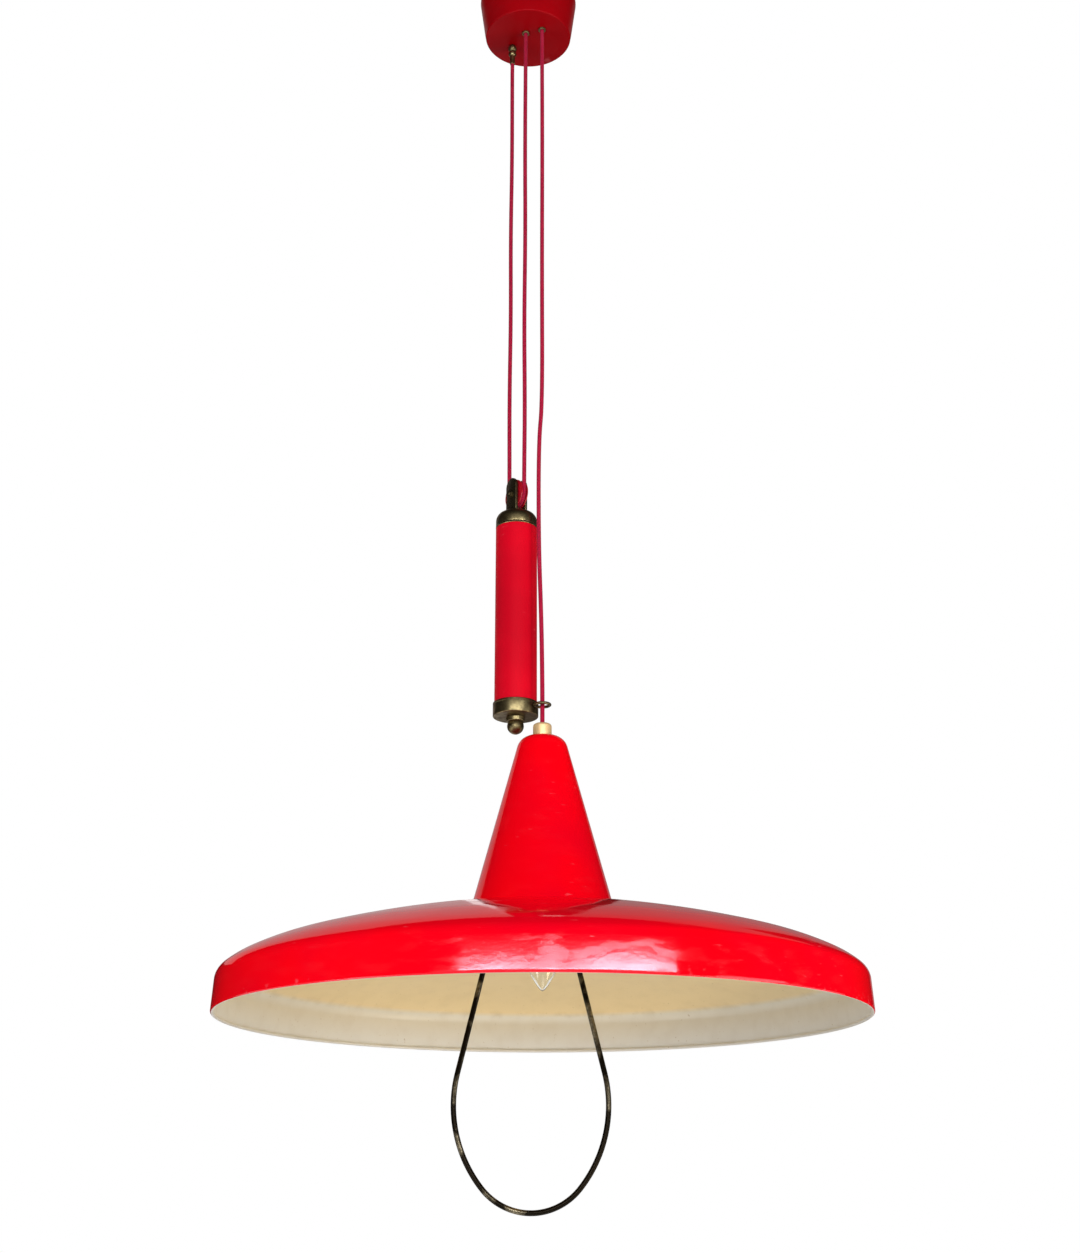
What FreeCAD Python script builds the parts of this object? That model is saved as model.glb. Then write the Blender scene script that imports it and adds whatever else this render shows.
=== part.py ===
"""Rise and fall pendant: a wide red enamelled dish with a conical neck, hung on one red
cord that runs over a sheave in the ceiling canopy and under a sheave on a brass-capped
counterweight.  Origin on the ceiling plane at the canopy's axis, +Z up, millimetres.
The lamp is drawn at the top of its travel, with the counterweight beside its neck."""
import FreeCAD
import Part
import Sketcher
import math
import os

from FreeCAD import Rotation, Vector

SIZES = {
    # cord and the three plumb falls
    "cord_radius": 2.2,
    "cord_play": 0.4,
    "lamp_right": 16.0,
    "lamp_near": 17.0,
    "weight_left": 10.5,
    "weight_far": 0.5,
    "fall_angle": 56.0,
    "running_gap": 0.05,
    "seat_gap": 0.1,
    # ceiling canopy and its strap
    "canopy_depth": 49.0,
    "canopy_rim_radius": 55.5,
    "canopy_face_radius": 49.0,
    "canopy_sheet": 1.5,
    "strap_play": 1.0,
    "strap_width": 30.0,
    "strap_sheet": 2.5,
    "strap_tab": 19.0,
    "mount_spacing": 70.0,
    "mount_hole_radius": 2.6,
    "canopy_screw_radius": 2.0,
    "canopy_screw_drop": 12.0,
    "canopy_screw_head": 3.6,
    # sheave in the canopy
    "axle_drop": 24.0,
    "axle_radius": 2.0,
    "sheave_flange": 2.0,
    "sheave_cheek": 1.3,
    "yoke_sheet": 2.0,
    "yoke_width": 16.0,
    "side_gap": 0.5,
    "rivet_radius": 2.0,
    "rivet_head": 3.6,
    # fittings in the canopy face
    "bush_radius": 3.4,
    "bush_flange": 4.3,
    "bush_drop": 2.4,
    "bush_lip": 1.4,
    "anchor_length": 26.0,
    "anchor_ball": 5.0,
    "anchor_stem_radius": 3.6,
    "anchor_tip_radius": 3.1,
    "tail_climb": 14.0,
    "tail_aside": 5.0,
    "tail_entry": 4.0,
    "tail_bend": 9.0,
    "lock_nut_height": 3.0,
    "lock_nut_radius": 6.2,
    "block_length": 24.0,
    "block_width": 15.0,
    "block_height": 12.0,
    "block_inset": 26.2,
    "block_screw_radius": 2.6,
    # counterweight, measured up from the underside of its lower cap, which hangs
    # weight_clear above the lamp's entry fitting
    "weight_clear": 12.0,
    "cap_radius": 22.6,
    "cap_height": 14.2,
    "cap_floor": 3.0,
    "tube_radius": 21.2,
    "tube_wall": 1.2,
    "tube_top": 202.0,
    "top_cap_lip": 9.0,
    "top_cap_height": 17.5,
    "top_cap_neck": 12.4,
    "spigot_depth": 8.0,
    "rod_radius": 3.0,
    "core_top": 194.0,
    "fork_sheet": 3.0,
    "fork_width": 18.0,
    "fork_foot": 3.0,
    "fork_height": 38.5,
    "weight_axle_rise": 20.9,
    "fall_spacing": 28.0,
    "bolt_head_radius": 4.0,
    "bolt_head_height": 2.2,
    "collar_radius": 9.3,
    "collar_height": 5.0,
    "ball_radius": 8.3,
    "ball_drop": 9.3,
    "ring_radius": 7.4,
    "ring_wire": 1.5,
    "ring_rise": 7.4,
    # shade, measured up from its rim plane
    "rim_drop": 1164.0,
    "rim_radius": 300.0,
    "shade_sheet": 0.9,
    "wall_height": 29.0,
    "wall_draft": 1.7,
    "hem_radius": 1.5,
    "brim_radius": 14.0,
    "brim_turn": 46.5,
    "shoulder_radius": 72.0,
    "shoulder_turn": 13.3,
    "haunch_radius": 220.0,
    "haunch_turn": 10.3,
    "dome_radius": 1000.0,
    "dish_lap": 11.2,
    "cone_base_radius": 68.2,
    "cone_flange": 9.6,
    "cone_top_rise": 269.5,
    "cone_crown_radius": 14.0,
    "crown_flat": 11.0,
    "joint_screw_radius": 1.6,
    "joint_head_radius": 3.2,
    "joint_head_height": 1.8,
    "joint_head_seat": 0.6,
    "joint_nut_radius": 3.2,
    "joint_nut_height": 2.4,
    "joint_nut_seat": 0.7,
    "joint_nut_clear": 0.3,
    "joint_count": 3,
    # entry fitting and hanger tube in the neck
    "grip_radius": 9.1,
    "grip_height": 13.5,
    "grip_crown": 3.0,
    "hanger_radius": 5.0,
    "hanger_bore": 3.9,
    "hanger_into_grip": 7.0,
    "hex_nut_radius": 8.6,
    "hex_nut_height": 4.0,
    # lampholder and bulb
    "holder_top": 178.0,
    "holder_cap_height": 18.0,
    "holder_radius": 18.0,
    "holder_length": 44.0,
    "holder_wall": 2.2,
    "holder_ring_radius": 19.6,
    "holder_ring_height": 6.0,
    "screw_shell_radius": 13.9,
    "screw_shell_length": 22.0,
    "bulb_cap_radius": 13.2,
    "bulb_cap_length": 24.0,
    "bulb_tip": 26.0,
    "bulb_radius": 17.5,
    "bulb_length": 79.0,
    "bulb_glass": 0.8,
    "stem_below": 4.0,
    "stem_tip_radius": 1.6,
    "stem_waist_radius": 2.6,
    "stem_flare": 12.0,
    "stem_foot": 4.0,
    # hanging handle
    "ear_half": 24.0,
    "ear_sheet": 2.0,
    "ear_width": 14.0,
    "pivot_rise": 121.0,
    "wire_radius": 2.5,
    "pivot_gap": 0.08,
    "leg_half": 31.0,
    "foot_inset": 2.6,
    "elbow_radius": 6.0,
    "knee_rise": 52.0,
    "knee_radius": 60.0,
    "loop_left": 10.4,
    "loop_half_width": 70.0,
    "loop_half_height": 93.0,
    "loop_centre_drop": 74.0,
    "loop_end_radius": 57.0,
    "loop_lean": 13.7,
}

doc = FreeCAD.newDocument("rise_and_fall_pendant")
sheet = doc.addObject("Spreadsheet::Sheet", "Sizes")
for row, (alias, number) in enumerate(SIZES.items(), start=1):
    sheet.set(f"A{row}", alias)
    sheet.set(f"B{row}", str(number))
    sheet.setAlias(f"B{row}", alias)
doc.recompute()


class Size:
    """A number that keeps the sheet expression it came from."""

    def __init__(self, number, text=None):
        self.number = float(number)
        self.text = text or repr(float(number))

    def _join(self, other, sign, number):
        other = as_size(other)
        return Size(number, f"({self.text} {sign} {other.text})")

    def __add__(self, other):
        return self._join(other, "+", self.number + float(other))

    def __sub__(self, other):
        return self._join(other, "-", self.number - float(other))

    def __mul__(self, other):
        return self._join(other, "*", self.number * float(other))

    def __truediv__(self, other):
        return self._join(other, "/", self.number / float(other))

    def __neg__(self):
        return Size(0) - self

    def __radd__(self, other):
        return as_size(other) + self

    def __rsub__(self, other):
        return as_size(other) - self

    def __rmul__(self, other):
        return as_size(other) * self

    def __float__(self):
        return self.number


def as_size(value):
    return value if isinstance(value, Size) else Size(value)


def sine(angle):
    angle = as_size(angle)
    return Size(math.sin(math.radians(float(angle))), f"sin({angle.text} * 1 deg)")


def cosine(angle):
    angle = as_size(angle)
    return Size(math.cos(math.radians(float(angle))), f"cos({angle.text} * 1 deg)")


def root(value):
    value = as_size(value)
    return Size(math.sqrt(float(value)), f"sqrt({value.text})")


def size(alias):
    return Size(SIZES[alias], f"Sizes.{alias}")


parts = {}


def keep(label, obj):
    """Registers a finished sub-part under the name that its file gets."""
    obj.Label = label
    parts[label] = obj
    return obj


def place(obj, base, rotation=None):
    """Puts an object's own origin at base, bound to the sheet, turned by rotation."""
    numbers = Vector(*(float(value) for value in base))
    obj.Placement = FreeCAD.Placement(numbers, rotation or Rotation())
    for letter, value in zip("xyz", base):
        if isinstance(value, Size):
            obj.setExpression(f".Placement.Base.{letter}", value.text)
    return obj


def origin_plane(body, role):
    return next(plane for plane in body.Origin.OriginFeatures if plane.Role == role)


def new_sketch(body, role, name):
    sketch = body.newObject("Sketcher::SketchObject", name)
    sketch.AttachmentSupport = [(origin_plane(body, role), "")]
    sketch.MapMode = "FlatFace"
    return sketch


def bind(sketch, kind, first, second, value):
    """Adds a datum constraint and ties it to the sheet."""
    value = as_size(value)
    index = sketch.addConstraint(
        Sketcher.Constraint(kind, *first, *second, float(value))
    )
    if "Sizes." in value.text:
        sketch.setExpression(f"Constraints[{index}]", value.text)


def arc_between(start, end, radius, turn):
    """The circle arc under half a turn from start to end; turn +1 is counter-clockwise."""
    chord = end - start
    middle = (start + end) * 0.5
    rise = math.sqrt(max(radius**2 - chord.Length**2 / 4, 0.0))
    normal = Vector(-chord.y, chord.x, 0).normalize() * turn
    centre = middle + normal * rise
    low, high = (start, end) if turn > 0 else (end, start)
    angles = [math.atan2((p - centre).y, (p - centre).x) for p in (low, high)]
    return Part.ArcOfCircle(Part.Circle(centre, Vector(0, 0, 1), radius), *angles)


def outline(sketch, points):
    """Closes a profile through (x, y) points; (x, y, radius, turn) reaches its point by an arc."""
    flat = [Vector(float(point[0]), float(point[1]), 0) for point in points]
    ends = []
    for index, point in enumerate(points):
        start, end = flat[index - 1], flat[index]
        if len(point) == 2:
            geometry = sketch.addGeometry(Part.LineSegment(start, end))
            ends.append((geometry, 1, 2))
            continue
        radius, turn = point[2:]
        geometry = sketch.addGeometry(arc_between(start, end, float(radius), turn))
        ends.append((geometry, 1, 2) if turn > 0 else (geometry, 2, 1))
        if abs((end - start).Length - 2 * float(radius)) > 1e-6:
            index = sketch.addConstraint(
                Sketcher.Constraint("Radius", geometry, float(radius))
            )
            if "Sizes." in as_size(radius).text:
                sketch.setExpression(f"Constraints[{index}]", as_size(radius).text)
    for index, (geometry, _, last) in enumerate(ends):
        following, first, _ = ends[(index + 1) % len(ends)]
        sketch.addConstraint(
            Sketcher.Constraint("Coincident", geometry, last, following, first)
        )
        bind(sketch, "DistanceX", (-1, 1), (geometry, last), points[index][0])
        bind(sketch, "DistanceY", (-1, 1), (geometry, last), points[index][1])


def ring_holes(sketch, holes):
    """Adds round holes (x, y, radius) to a sketch."""
    for x, y, radius in holes:
        circle = Part.Circle(Vector(float(x), float(y), 0), Vector(0, 0, 1), float(radius))
        geometry = sketch.addGeometry(circle)
        bind(sketch, "DistanceX", (-1, 1), (geometry, 3), x)
        bind(sketch, "DistanceY", (-1, 1), (geometry, 3), y)
        index = sketch.addConstraint(
            Sketcher.Constraint("Radius", geometry, float(radius))
        )
        sketch.setExpression(f"Constraints[{index}]", as_size(radius).text)


def lathe(label, base, points, rotation=None):
    """A turned piece: a half profile of (radius, height) points spun about its own Z."""
    body = doc.addObject("PartDesign::Body", label)
    sketch = new_sketch(body, "XZ_Plane", f"{label}_profile")
    outline(sketch, points)
    spin = body.newObject("PartDesign::Revolution", f"{label}_turned")
    spin.Profile = sketch
    spin.ReferenceAxis = (sketch, ["V_Axis"])
    spin.Angle = 360.0
    place(body, base, rotation)
    return keep(label, body)


def slab(label, base, role, points, depth, holes=(), rotation=None):
    """A flat or folded piece: an outline on one of the body's planes, padded evenly to both
    sides of it over depth, with round holes through it."""
    body = doc.addObject("PartDesign::Body", label)
    sketch = new_sketch(body, role, f"{label}_outline")
    outline(sketch, points)
    ring_holes(sketch, holes)
    pad = body.newObject("PartDesign::Pad", f"{label}_pad")
    pad.Profile = sketch
    pad.Midplane = True
    pad.setExpression("Length", as_size(depth).text)
    place(body, base, rotation)
    return keep(label, body)


def drill(body, role, holes):
    """Cuts round holes right through a body, square to one of its planes."""
    doc.recompute()
    before = body.Shape.Volume
    sketch = new_sketch(body, role, f"{body.Name}_holes_{role[:2]}")
    ring_holes(sketch, holes)
    pocket = body.newObject("PartDesign::Pocket", f"{body.Name}_drilled_{role[:2]}")
    pocket.Profile = sketch
    pocket.Type = 1
    pocket.Midplane = True
    doc.recompute()
    if body.Shape.Volume >= before:
        raise ValueError(f"{body.Label}: the holes cut nothing")


def rod(name, base, radius, length, rotation=None):
    """A plain cylinder standing on base."""
    cylinder = doc.addObject("Part::Cylinder", name)
    cylinder.setExpression("Radius", as_size(radius).text)
    cylinder.setExpression("Height", as_size(length).text)
    return place(cylinder, base, rotation)


def hexagon(name, base, radius, height, rotation=None):
    prism = doc.addObject("Part::Prism", name)
    prism.Polygon = 6
    prism.setExpression("Circumradius", as_size(radius).text)
    prism.setExpression("Height", as_size(height).text)
    return place(prism, base, rotation)


def cut(name, base, tool):
    result = doc.addObject("Part::Cut", name)
    result.Base = base
    result.Tool = tool
    return result


def fuse(name, pieces):
    result = doc.addObject("Part::MultiFuse", name)
    result.Shapes = pieces
    result.Refine = True
    return result


def group(label, pieces):
    """Identical small pieces that share one file."""
    result = doc.addObject("Part::Compound", label)
    result.Links = pieces
    return keep(label, result)


def hex_nut(name, base, radius, bore, height, rotation=None):
    blank = hexagon(f"{name}_blank", base, radius, height, rotation)
    hole = rod(f"{name}_bore", base, bore, height, rotation)
    return cut(name, blank, hole)


# ---- places that several pieces share -------------------------------------------------

cord_radius = size("cord_radius")
pitch_offset = size("fall_spacing") / 2
lamp_x, lamp_y = size("lamp_right"), -size("lamp_near")
weight_x, weight_y = -size("weight_left"), size("weight_far")
rim_z = -size("rim_drop")
weight_z = rim_z + size("cone_top_rise") + size("grip_height") + size("weight_clear")

# the weight's sheave stands fall_angle round from the row's X axis
across_x, across_y = cosine(size("fall_angle")), -sine(size("fall_angle"))
still_x, still_y = weight_x - pitch_offset * across_x, weight_y - pitch_offset * across_y
moving_x, moving_y = weight_x + pitch_offset * across_x, weight_y + pitch_offset * across_y

# the canopy's sheave carries the cord from the moving fall to the lamp's own fall
span_x, span_y = lamp_x - moving_x, lamp_y - moving_y
ceiling_span = root(span_x * span_x + span_y * span_y)
ceiling_pitch = ceiling_span / 2
sheave_x, sheave_y = (lamp_x + moving_x) / 2, (lamp_y + moving_y) / 2
ceiling_axle_z = -size("axle_drop")
face_z = -size("canopy_depth")
lamp_axis = (lamp_x, lamp_y, rim_z)
weight_axis = (weight_x, weight_y, weight_z)

fork_base = size("tube_top") + size("top_cap_height")
weight_axle = fork_base + size("weight_axle_rise")
weight_axle_z = weight_z + weight_axle

weight_across = Vector(float(across_x), float(across_y), 0)
ceiling_across = Vector(float(span_x), float(span_y), 0).normalize()
UP = Vector(0, 0, 1)


def facing(across, up):
    """The turn that lays local X along across, local Y along up and local Z along an axle."""
    return Rotation(across, up, across.cross(up), "ZXY")


def standing(across):
    """The turn that keeps Z up and lays local X along across."""
    return Rotation(across, UP.cross(across), UP, "ZXY")


# ---- canopy ----------------------------------------------------------------------------


def make_canopy():
    wall = size("canopy_sheet")
    depth = size("canopy_depth")
    slope = (size("canopy_rim_radius") - size("canopy_face_radius")) / depth
    shell = lathe(
        "canopy_shell",
        (0, 0, 0),
        [
            (0, -depth),
            (size("canopy_face_radius"), -depth),
            (size("canopy_rim_radius"), 0),
            (size("canopy_rim_radius") - wall, 0),
            (size("canopy_face_radius") - wall + slope * wall, -(depth - wall)),
            (0, -(depth - wall)),
        ],
    )
    bush_hole = size("bush_radius") + size("seat_gap")
    stem_hole = size("anchor_stem_radius") + size("seat_gap")
    drill(
        shell,
        "XY_Plane",
        [
            (moving_x, moving_y, bush_hole),
            (lamp_x, lamp_y, bush_hole),
            (still_x, still_y, stem_hole),
        ],
    )
    screw_hole = size("canopy_screw_radius") + size("seat_gap")
    drill(shell, "XZ_Plane", [(0, -size("canopy_screw_drop"), screw_hole)])


def strap_half_length():
    """Half the strap's length: its tabs' corners stop a little short of the canopy's wall."""
    slope = (size("canopy_rim_radius") - size("canopy_face_radius")) / size("canopy_depth")
    inside = size("canopy_rim_radius") - slope * size("strap_tab") - size("canopy_sheet")
    reach = inside - size("strap_play")
    half_width = size("strap_width") / 2
    return root(reach * reach - half_width * half_width)


def make_strap():
    """The folded steel strap on the ceiling; its tabs take the canopy's screws."""
    half = strap_half_length()
    steel = size("strap_sheet")
    drop = size("strap_tab")
    strap = slab(
        "ceiling_strap",
        (0, 0, 0),
        "YZ_Plane",
        [
            (-half, 0),
            (-half, -drop),
            (-half + steel, -drop),
            (-half + steel, -steel),
            (half - steel, -steel),
            (half - steel, -drop),
            (half, -drop),
            (half, 0),
        ],
        size("strap_width"),
    )
    hole = size("mount_hole_radius")
    centre = size("mount_spacing") / 2
    rivet_hole = size("rivet_radius") + size("seat_gap")
    drill(strap, "XY_Plane", [(0, -centre, hole), (0, centre, hole), (sheave_x, sheave_y, rivet_hole)])
    screw_hole = size("canopy_screw_radius") + size("seat_gap")
    drill(strap, "XZ_Plane", [(0, -size("canopy_screw_drop"), screw_hole)])


def make_canopy_screws():
    """Two cheese-head screws through the canopy's wall into the strap's tabs."""
    drop = size("canopy_screw_drop")
    slope = (size("canopy_rim_radius") - size("canopy_face_radius")) / size("canopy_depth")
    seat = size("canopy_rim_radius") - slope * (drop - size("canopy_screw_head")) + size("seat_gap")
    reach = seat - strap_half_length() + size("strap_sheet") + 2
    screws = []
    for side, name in ((1, "far"), (-1, "near")):
        turn = Rotation(Vector(1, 0, 0), -90 * side)
        shank_base = (0, (seat - reach) * side, -drop)
        shank = rod(f"canopy_screw_{name}_shank", shank_base, size("canopy_screw_radius"), reach, turn)
        head_base = (0, seat * side, -drop)
        head = rod(f"canopy_screw_{name}_head", head_base, size("canopy_screw_head"), 2, turn)
        screws.append(fuse(f"canopy_screw_{name}", [shank, head]))
    group("canopy_screws", screws)


def groove_points(pitch, bore):
    """Half profile of a grooved sheave about its axle, its groove a little wider than the cord."""
    throat = cord_radius + size("cord_play")
    half = throat + size("sheave_cheek")
    edge = pitch + size("sheave_flange")
    return [
        (bore, -half),
        (edge, -half),
        (edge, -throat),
        (pitch, -throat),
        (pitch - throat, 0, throat, -1),
        (pitch, throat, throat, -1),
        (edge, throat),
        (edge, half),
        (bore, half),
    ]


def sheave_half_width():
    return cord_radius + size("cord_play") + size("sheave_cheek")


def make_ceiling_sheave():
    centre = (sheave_x, sheave_y, ceiling_axle_z)
    turn = facing(ceiling_across, UP)
    bore = size("axle_radius") + size("running_gap")
    lathe("ceiling_sheave", centre, groove_points(ceiling_pitch, bore), turn)


def make_ceiling_yoke():
    """The folded yoke that carries the sheave's axle under the strap, held by one rivet."""
    steel = size("yoke_sheet")
    inside = sheave_half_width() + size("side_gap")
    outside = inside + steel
    top = -size("strap_sheet") - ceiling_axle_z
    foot = -size("axle_radius") * 3
    width = size("yoke_width")
    turn = Rotation(UP.cross(ceiling_across), UP.cross(UP.cross(ceiling_across)), UP, "ZXY")
    yoke = slab(
        "ceiling_yoke",
        (sheave_x, sheave_y, ceiling_axle_z),
        "XZ_Plane",
        [
            (-outside, top),
            (-outside, foot),
            (-inside, foot),
            (-inside, top - steel),
            (inside, top - steel),
            (inside, foot),
            (outside, foot),
            (outside, top),
        ],
        width,
        rotation=turn,
    )
    drill(yoke, "XY_Plane", [(0, 0, size("rivet_radius") + size("seat_gap"))])
    drill(yoke, "YZ_Plane", [(0, 0, size("axle_radius") + size("seat_gap"))])
    rivet_base = (sheave_x, sheave_y, 0)
    length = size("strap_sheet") + steel
    lathe(
        "yoke_rivet",
        rivet_base,
        [
            (0, -length - 2),
            (size("rivet_head"), -length - 2),
            (size("rivet_head"), -length),
            (size("rivet_radius"), -length),
            (size("rivet_radius"), 0),
            (0, 0),
        ],
    )


def make_ceiling_axle():
    """A headed pin through both cheeks, closed by a washer."""
    outside = sheave_half_width() + size("side_gap") + size("yoke_sheet")
    pin = size("axle_radius")
    head = pin + 1.5
    lathe(
        "ceiling_axle",
        (sheave_x, sheave_y, ceiling_axle_z),
        [
            (0, -outside - 1.5),
            (head, -outside - 1.5),
            (head, -outside),
            (pin, -outside),
            (pin, outside + 2),
            (0, outside + 2),
        ],
        facing(ceiling_across, UP),
    )
    washer_base = (sheave_x, sheave_y, ceiling_axle_z)
    lathe(
        "axle_washer",
        washer_base,
        [
            (pin + size("seat_gap"), outside),
            (head, outside),
            (head, outside + 1.2),
            (pin + size("seat_gap"), outside + 1.2),
        ],
        facing(ceiling_across, UP),
    )


def make_bushes():
    """Brass bushes in the canopy's face for the two falls that run."""
    bore = cord_radius + size("cord_play")
    drop = size("bush_drop")
    through = size("canopy_sheet")
    for label, x, y in (("bush_return", moving_x, moving_y), ("bush_lamp", lamp_x, lamp_y)):
        lathe(
            label,
            (x, y, face_z),
            [
                (bore, -drop),
                (size("bush_flange") - 0.8, -drop),
                (size("bush_flange"), -drop + 0.8, 0.8, 1),
                (size("bush_flange"), 0),
                (size("bush_radius"), 0),
                (size("bush_radius"), through),
                (size("bush_radius") + 0.9, through),
                (size("bush_radius") + 0.9, through + size("bush_lip")),
                (bore, through + size("bush_lip")),
            ],
        )


def make_anchor():
    """The brass grip that ends the still fall: two beads and a tapered tail."""
    ball = size("anchor_ball")
    length = size("anchor_length")
    stem = size("anchor_stem_radius")
    bore = cord_radius + size("running_gap")
    waist = ball * 0.62
    bead = ball * 0.92
    half_ball = root(ball * ball - waist * waist)
    half_bead = root(bead * bead - waist * waist)
    ball_low = -(half_ball * 2)
    bead_low = ball_low - half_bead * 2
    lathe(
        "cord_anchor",
        (still_x, still_y, face_z),
        [
            (bore, -length),
            (size("anchor_tip_radius"), -length),
            (waist, bead_low),
            (waist, ball_low, bead, 1),
            (waist, 0, ball, 1),
            (stem, 0),
            (stem, size("canopy_sheet") + size("lock_nut_height") + 1.5),
            (bore, size("canopy_sheet") + size("lock_nut_height") + 1.5),
        ],
    )
    nut_base = (still_x, still_y, face_z + size("canopy_sheet"))
    nut = hex_nut(
        "anchor_nut", nut_base, size("lock_nut_radius"), stem + size("seat_gap"), size("lock_nut_height")
    )
    keep("anchor_nut", nut)


def block_far():
    """How far the terminal block's middle stands behind the canopy's axis."""
    return strap_half_length() - size("block_inset")


def make_terminal_block():
    """The connector under the strap, with a wire hole at each end and two clamp screws."""
    length, width, height = size("block_length"), size("block_width"), size("block_height")
    top = -size("strap_sheet")
    block = doc.addObject("Part::Box", "terminal_blank")
    for name, value in (("Length", length), ("Width", width), ("Height", height)):
        block.setExpression(name, value.text)
    place(block, (-length / 2, block_far() - width / 2, top - height))
    rounded = doc.addObject("Part::Fillet", "terminal_rounded")
    rounded.Base = block
    rounded.Edges = [(edge, 1.5, 1.5) for edge in (2, 4, 6, 8)]
    along = Rotation(Vector(0, 1, 0), 90)
    hole_base = (-length / 2, block_far(), top - height / 2)
    wire_hole = rod("terminal_wire_hole", hole_base, cord_radius + size("seat_gap"), length / 3, along)
    holes = [wire_hole]
    screws = []
    for side, name in ((-1, "left"), (1, "right")):
        base = (length / 4 * side, block_far(), top - height - 1.5)
        holes.append(
            rod(f"terminal_{name}_hole", base, size("block_screw_radius") + size("seat_gap"), height / 2)
        )
        screw = rod(f"terminal_{name}_screw", base, size("block_screw_radius"), height / 2 - 1)
        screws.append(screw)
    cavities = fuse("terminal_cavities", holes)
    keep("terminal_block", cut("terminal_block", rounded, cavities))
    group("terminal_screws", screws)


# ---- cord ------------------------------------------------------------------------------


def make_falls():
    """The three plumb falls and the two half turns round the sheaves."""
    anchor_end = face_z - size("anchor_length")
    lamp_end = rim_z + size("cone_top_rise") + size("grip_height")
    still = (still_x, still_y, weight_axle_z)
    moving = (moving_x, moving_y, weight_axle_z)
    keep("fall_still", rod("fall_still", still, cord_radius, anchor_end - weight_axle_z))
    keep("fall_return", rod("fall_return", moving, cord_radius, ceiling_axle_z - weight_axle_z))
    lamp = (lamp_x, lamp_y, lamp_end)
    keep("fall_lamp", rod("fall_lamp", lamp, cord_radius, ceiling_axle_z - lamp_end))
    turns = (
        ("turn_weight", pitch_offset, (weight_x, weight_y, weight_axle_z), weight_across, -UP),
        ("turn_ceiling", ceiling_pitch, (sheave_x, sheave_y, ceiling_axle_z), ceiling_across, UP),
    )
    for label, pitch, centre, across, up in turns:
        turn = doc.addObject("Part::Torus", label)
        turn.Angle3 = 180.0
        turn.setExpression("Radius1", pitch.text)
        turn.setExpression("Radius2", cord_radius.text)
        place(turn, centre, facing(across, up))
        keep(label, turn)


def rounded_path(points, radii):
    """Straight runs joined by tangent arcs, as a list of edges; radii has one value per corner."""
    edges = []
    start = points[0]
    for corner, following, radius in zip(points[1:-1], points[2:], radii):
        before = (start - corner).normalize()
        after = (following - corner).normalize()
        half_turn = (math.pi - before.getAngle(after)) / 2
        reach = radius * math.tan(half_turn)
        inner = (before + after).normalize() * (radius / math.cos(half_turn) - radius)
        first, last = corner + before * reach, corner + after * reach
        edges.append(Part.LineSegment(start, first).toShape())
        edges.append(Part.Arc(first, corner + inner, last).toShape())
        start = last
    edges.append(Part.LineSegment(start, points[-1]).toShape())
    return edges


def sweep(label, edges, radius, base):
    """A round wire or cord along edges, as one solid."""
    path = Part.Wire(edges)
    first = path.Edges[0]
    start = first.valueAt(first.FirstParameter)
    heading = first.tangentAt(first.FirstParameter)
    ring = Part.Wire([Part.Circle(start, heading, radius).toShape()])
    solid = path.makePipeShell([ring], True, False)
    expected = path.Length * math.pi * radius**2
    if abs(solid.Volume / expected - 1) > 0.01:
        raise ValueError(f"{label}: volume {solid.Volume:.1f}, expected {expected:.1f}")
    feature = doc.addObject("Part::Feature", label)
    feature.Shape = solid
    place(feature, base)
    return keep(label, feature)


def make_supply_tail():
    """The cord above the still fall: up through the anchor and into the terminal block."""
    start = Vector(0, 0, -float(size("anchor_length")))
    block_x = -float(size("block_length")) / 2
    block_z = float(size("canopy_depth") - size("strap_sheet") - size("block_height") / 2)
    entry = Vector(block_x - float(still_x), float(block_far() - still_y), block_z)
    above = Vector(0, 0, block_z - float(size("tail_climb")))
    beside = Vector(-float(size("tail_aside")), entry.y, block_z)
    inside = entry + Vector(float(size("tail_entry")), 0, 0)
    bend_radius = float(size("tail_bend"))
    edges = rounded_path([start, above, beside, inside], [bend_radius, bend_radius])
    sweep("supply_tail", edges, float(cord_radius), (still_x, still_y, face_z))


def make_lamp_tail():
    """The cord inside the neck, from the entry fitting down to the lampholder."""
    top = size("cone_top_rise") + size("grip_height")
    low = size("holder_top") - size("holder_cap_height") + 6
    keep("lamp_tail", rod("lamp_tail", (lamp_x, lamp_y, rim_z + low), cord_radius, top - low))


# ---- counterweight ---------------------------------------------------------------------


def make_weight_body():
    wall = size("tube_wall")
    tube = size("tube_radius")
    floor = size("cap_floor")
    top = size("tube_top")
    lathe(
        "weight_tube",
        weight_axis,
        [(tube - wall, floor), (tube, floor), (tube, top), (tube - wall, top)],
    )
    rod_hole = size("rod_radius") + size("seat_gap")
    core = tube - wall - size("seat_gap")
    lathe(
        "weight_core",
        weight_axis,
        [(rod_hole, floor), (core, floor), (core, size("core_top")), (rod_hole, size("core_top"))],
    )
    lip = top + size("top_cap_lip")
    crown = top + size("top_cap_height")
    spigot = core
    lathe(
        "top_cap",
        weight_axis,
        [
            (rod_hole, top - size("spigot_depth")),
            (spigot, top - size("spigot_depth")),
            (spigot, top),
            (tube, top),
            (tube, lip - 1),
            (size("top_cap_neck"), crown, tube - size("top_cap_neck"), 1),
            (rod_hole, crown),
        ],
    )
    cap = size("cap_radius")
    bottom = lathe(
        "bottom_cap",
        weight_axis,
        [
            (rod_hole, 0),
            (cap - 1, 0),
            (cap, 1, 1, 1),
            (cap, size("cap_height")),
            (tube + size("seat_gap"), size("cap_height")),
            (tube + size("seat_gap"), floor),
            (rod_hole, floor),
        ],
    )
    return bottom


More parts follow.
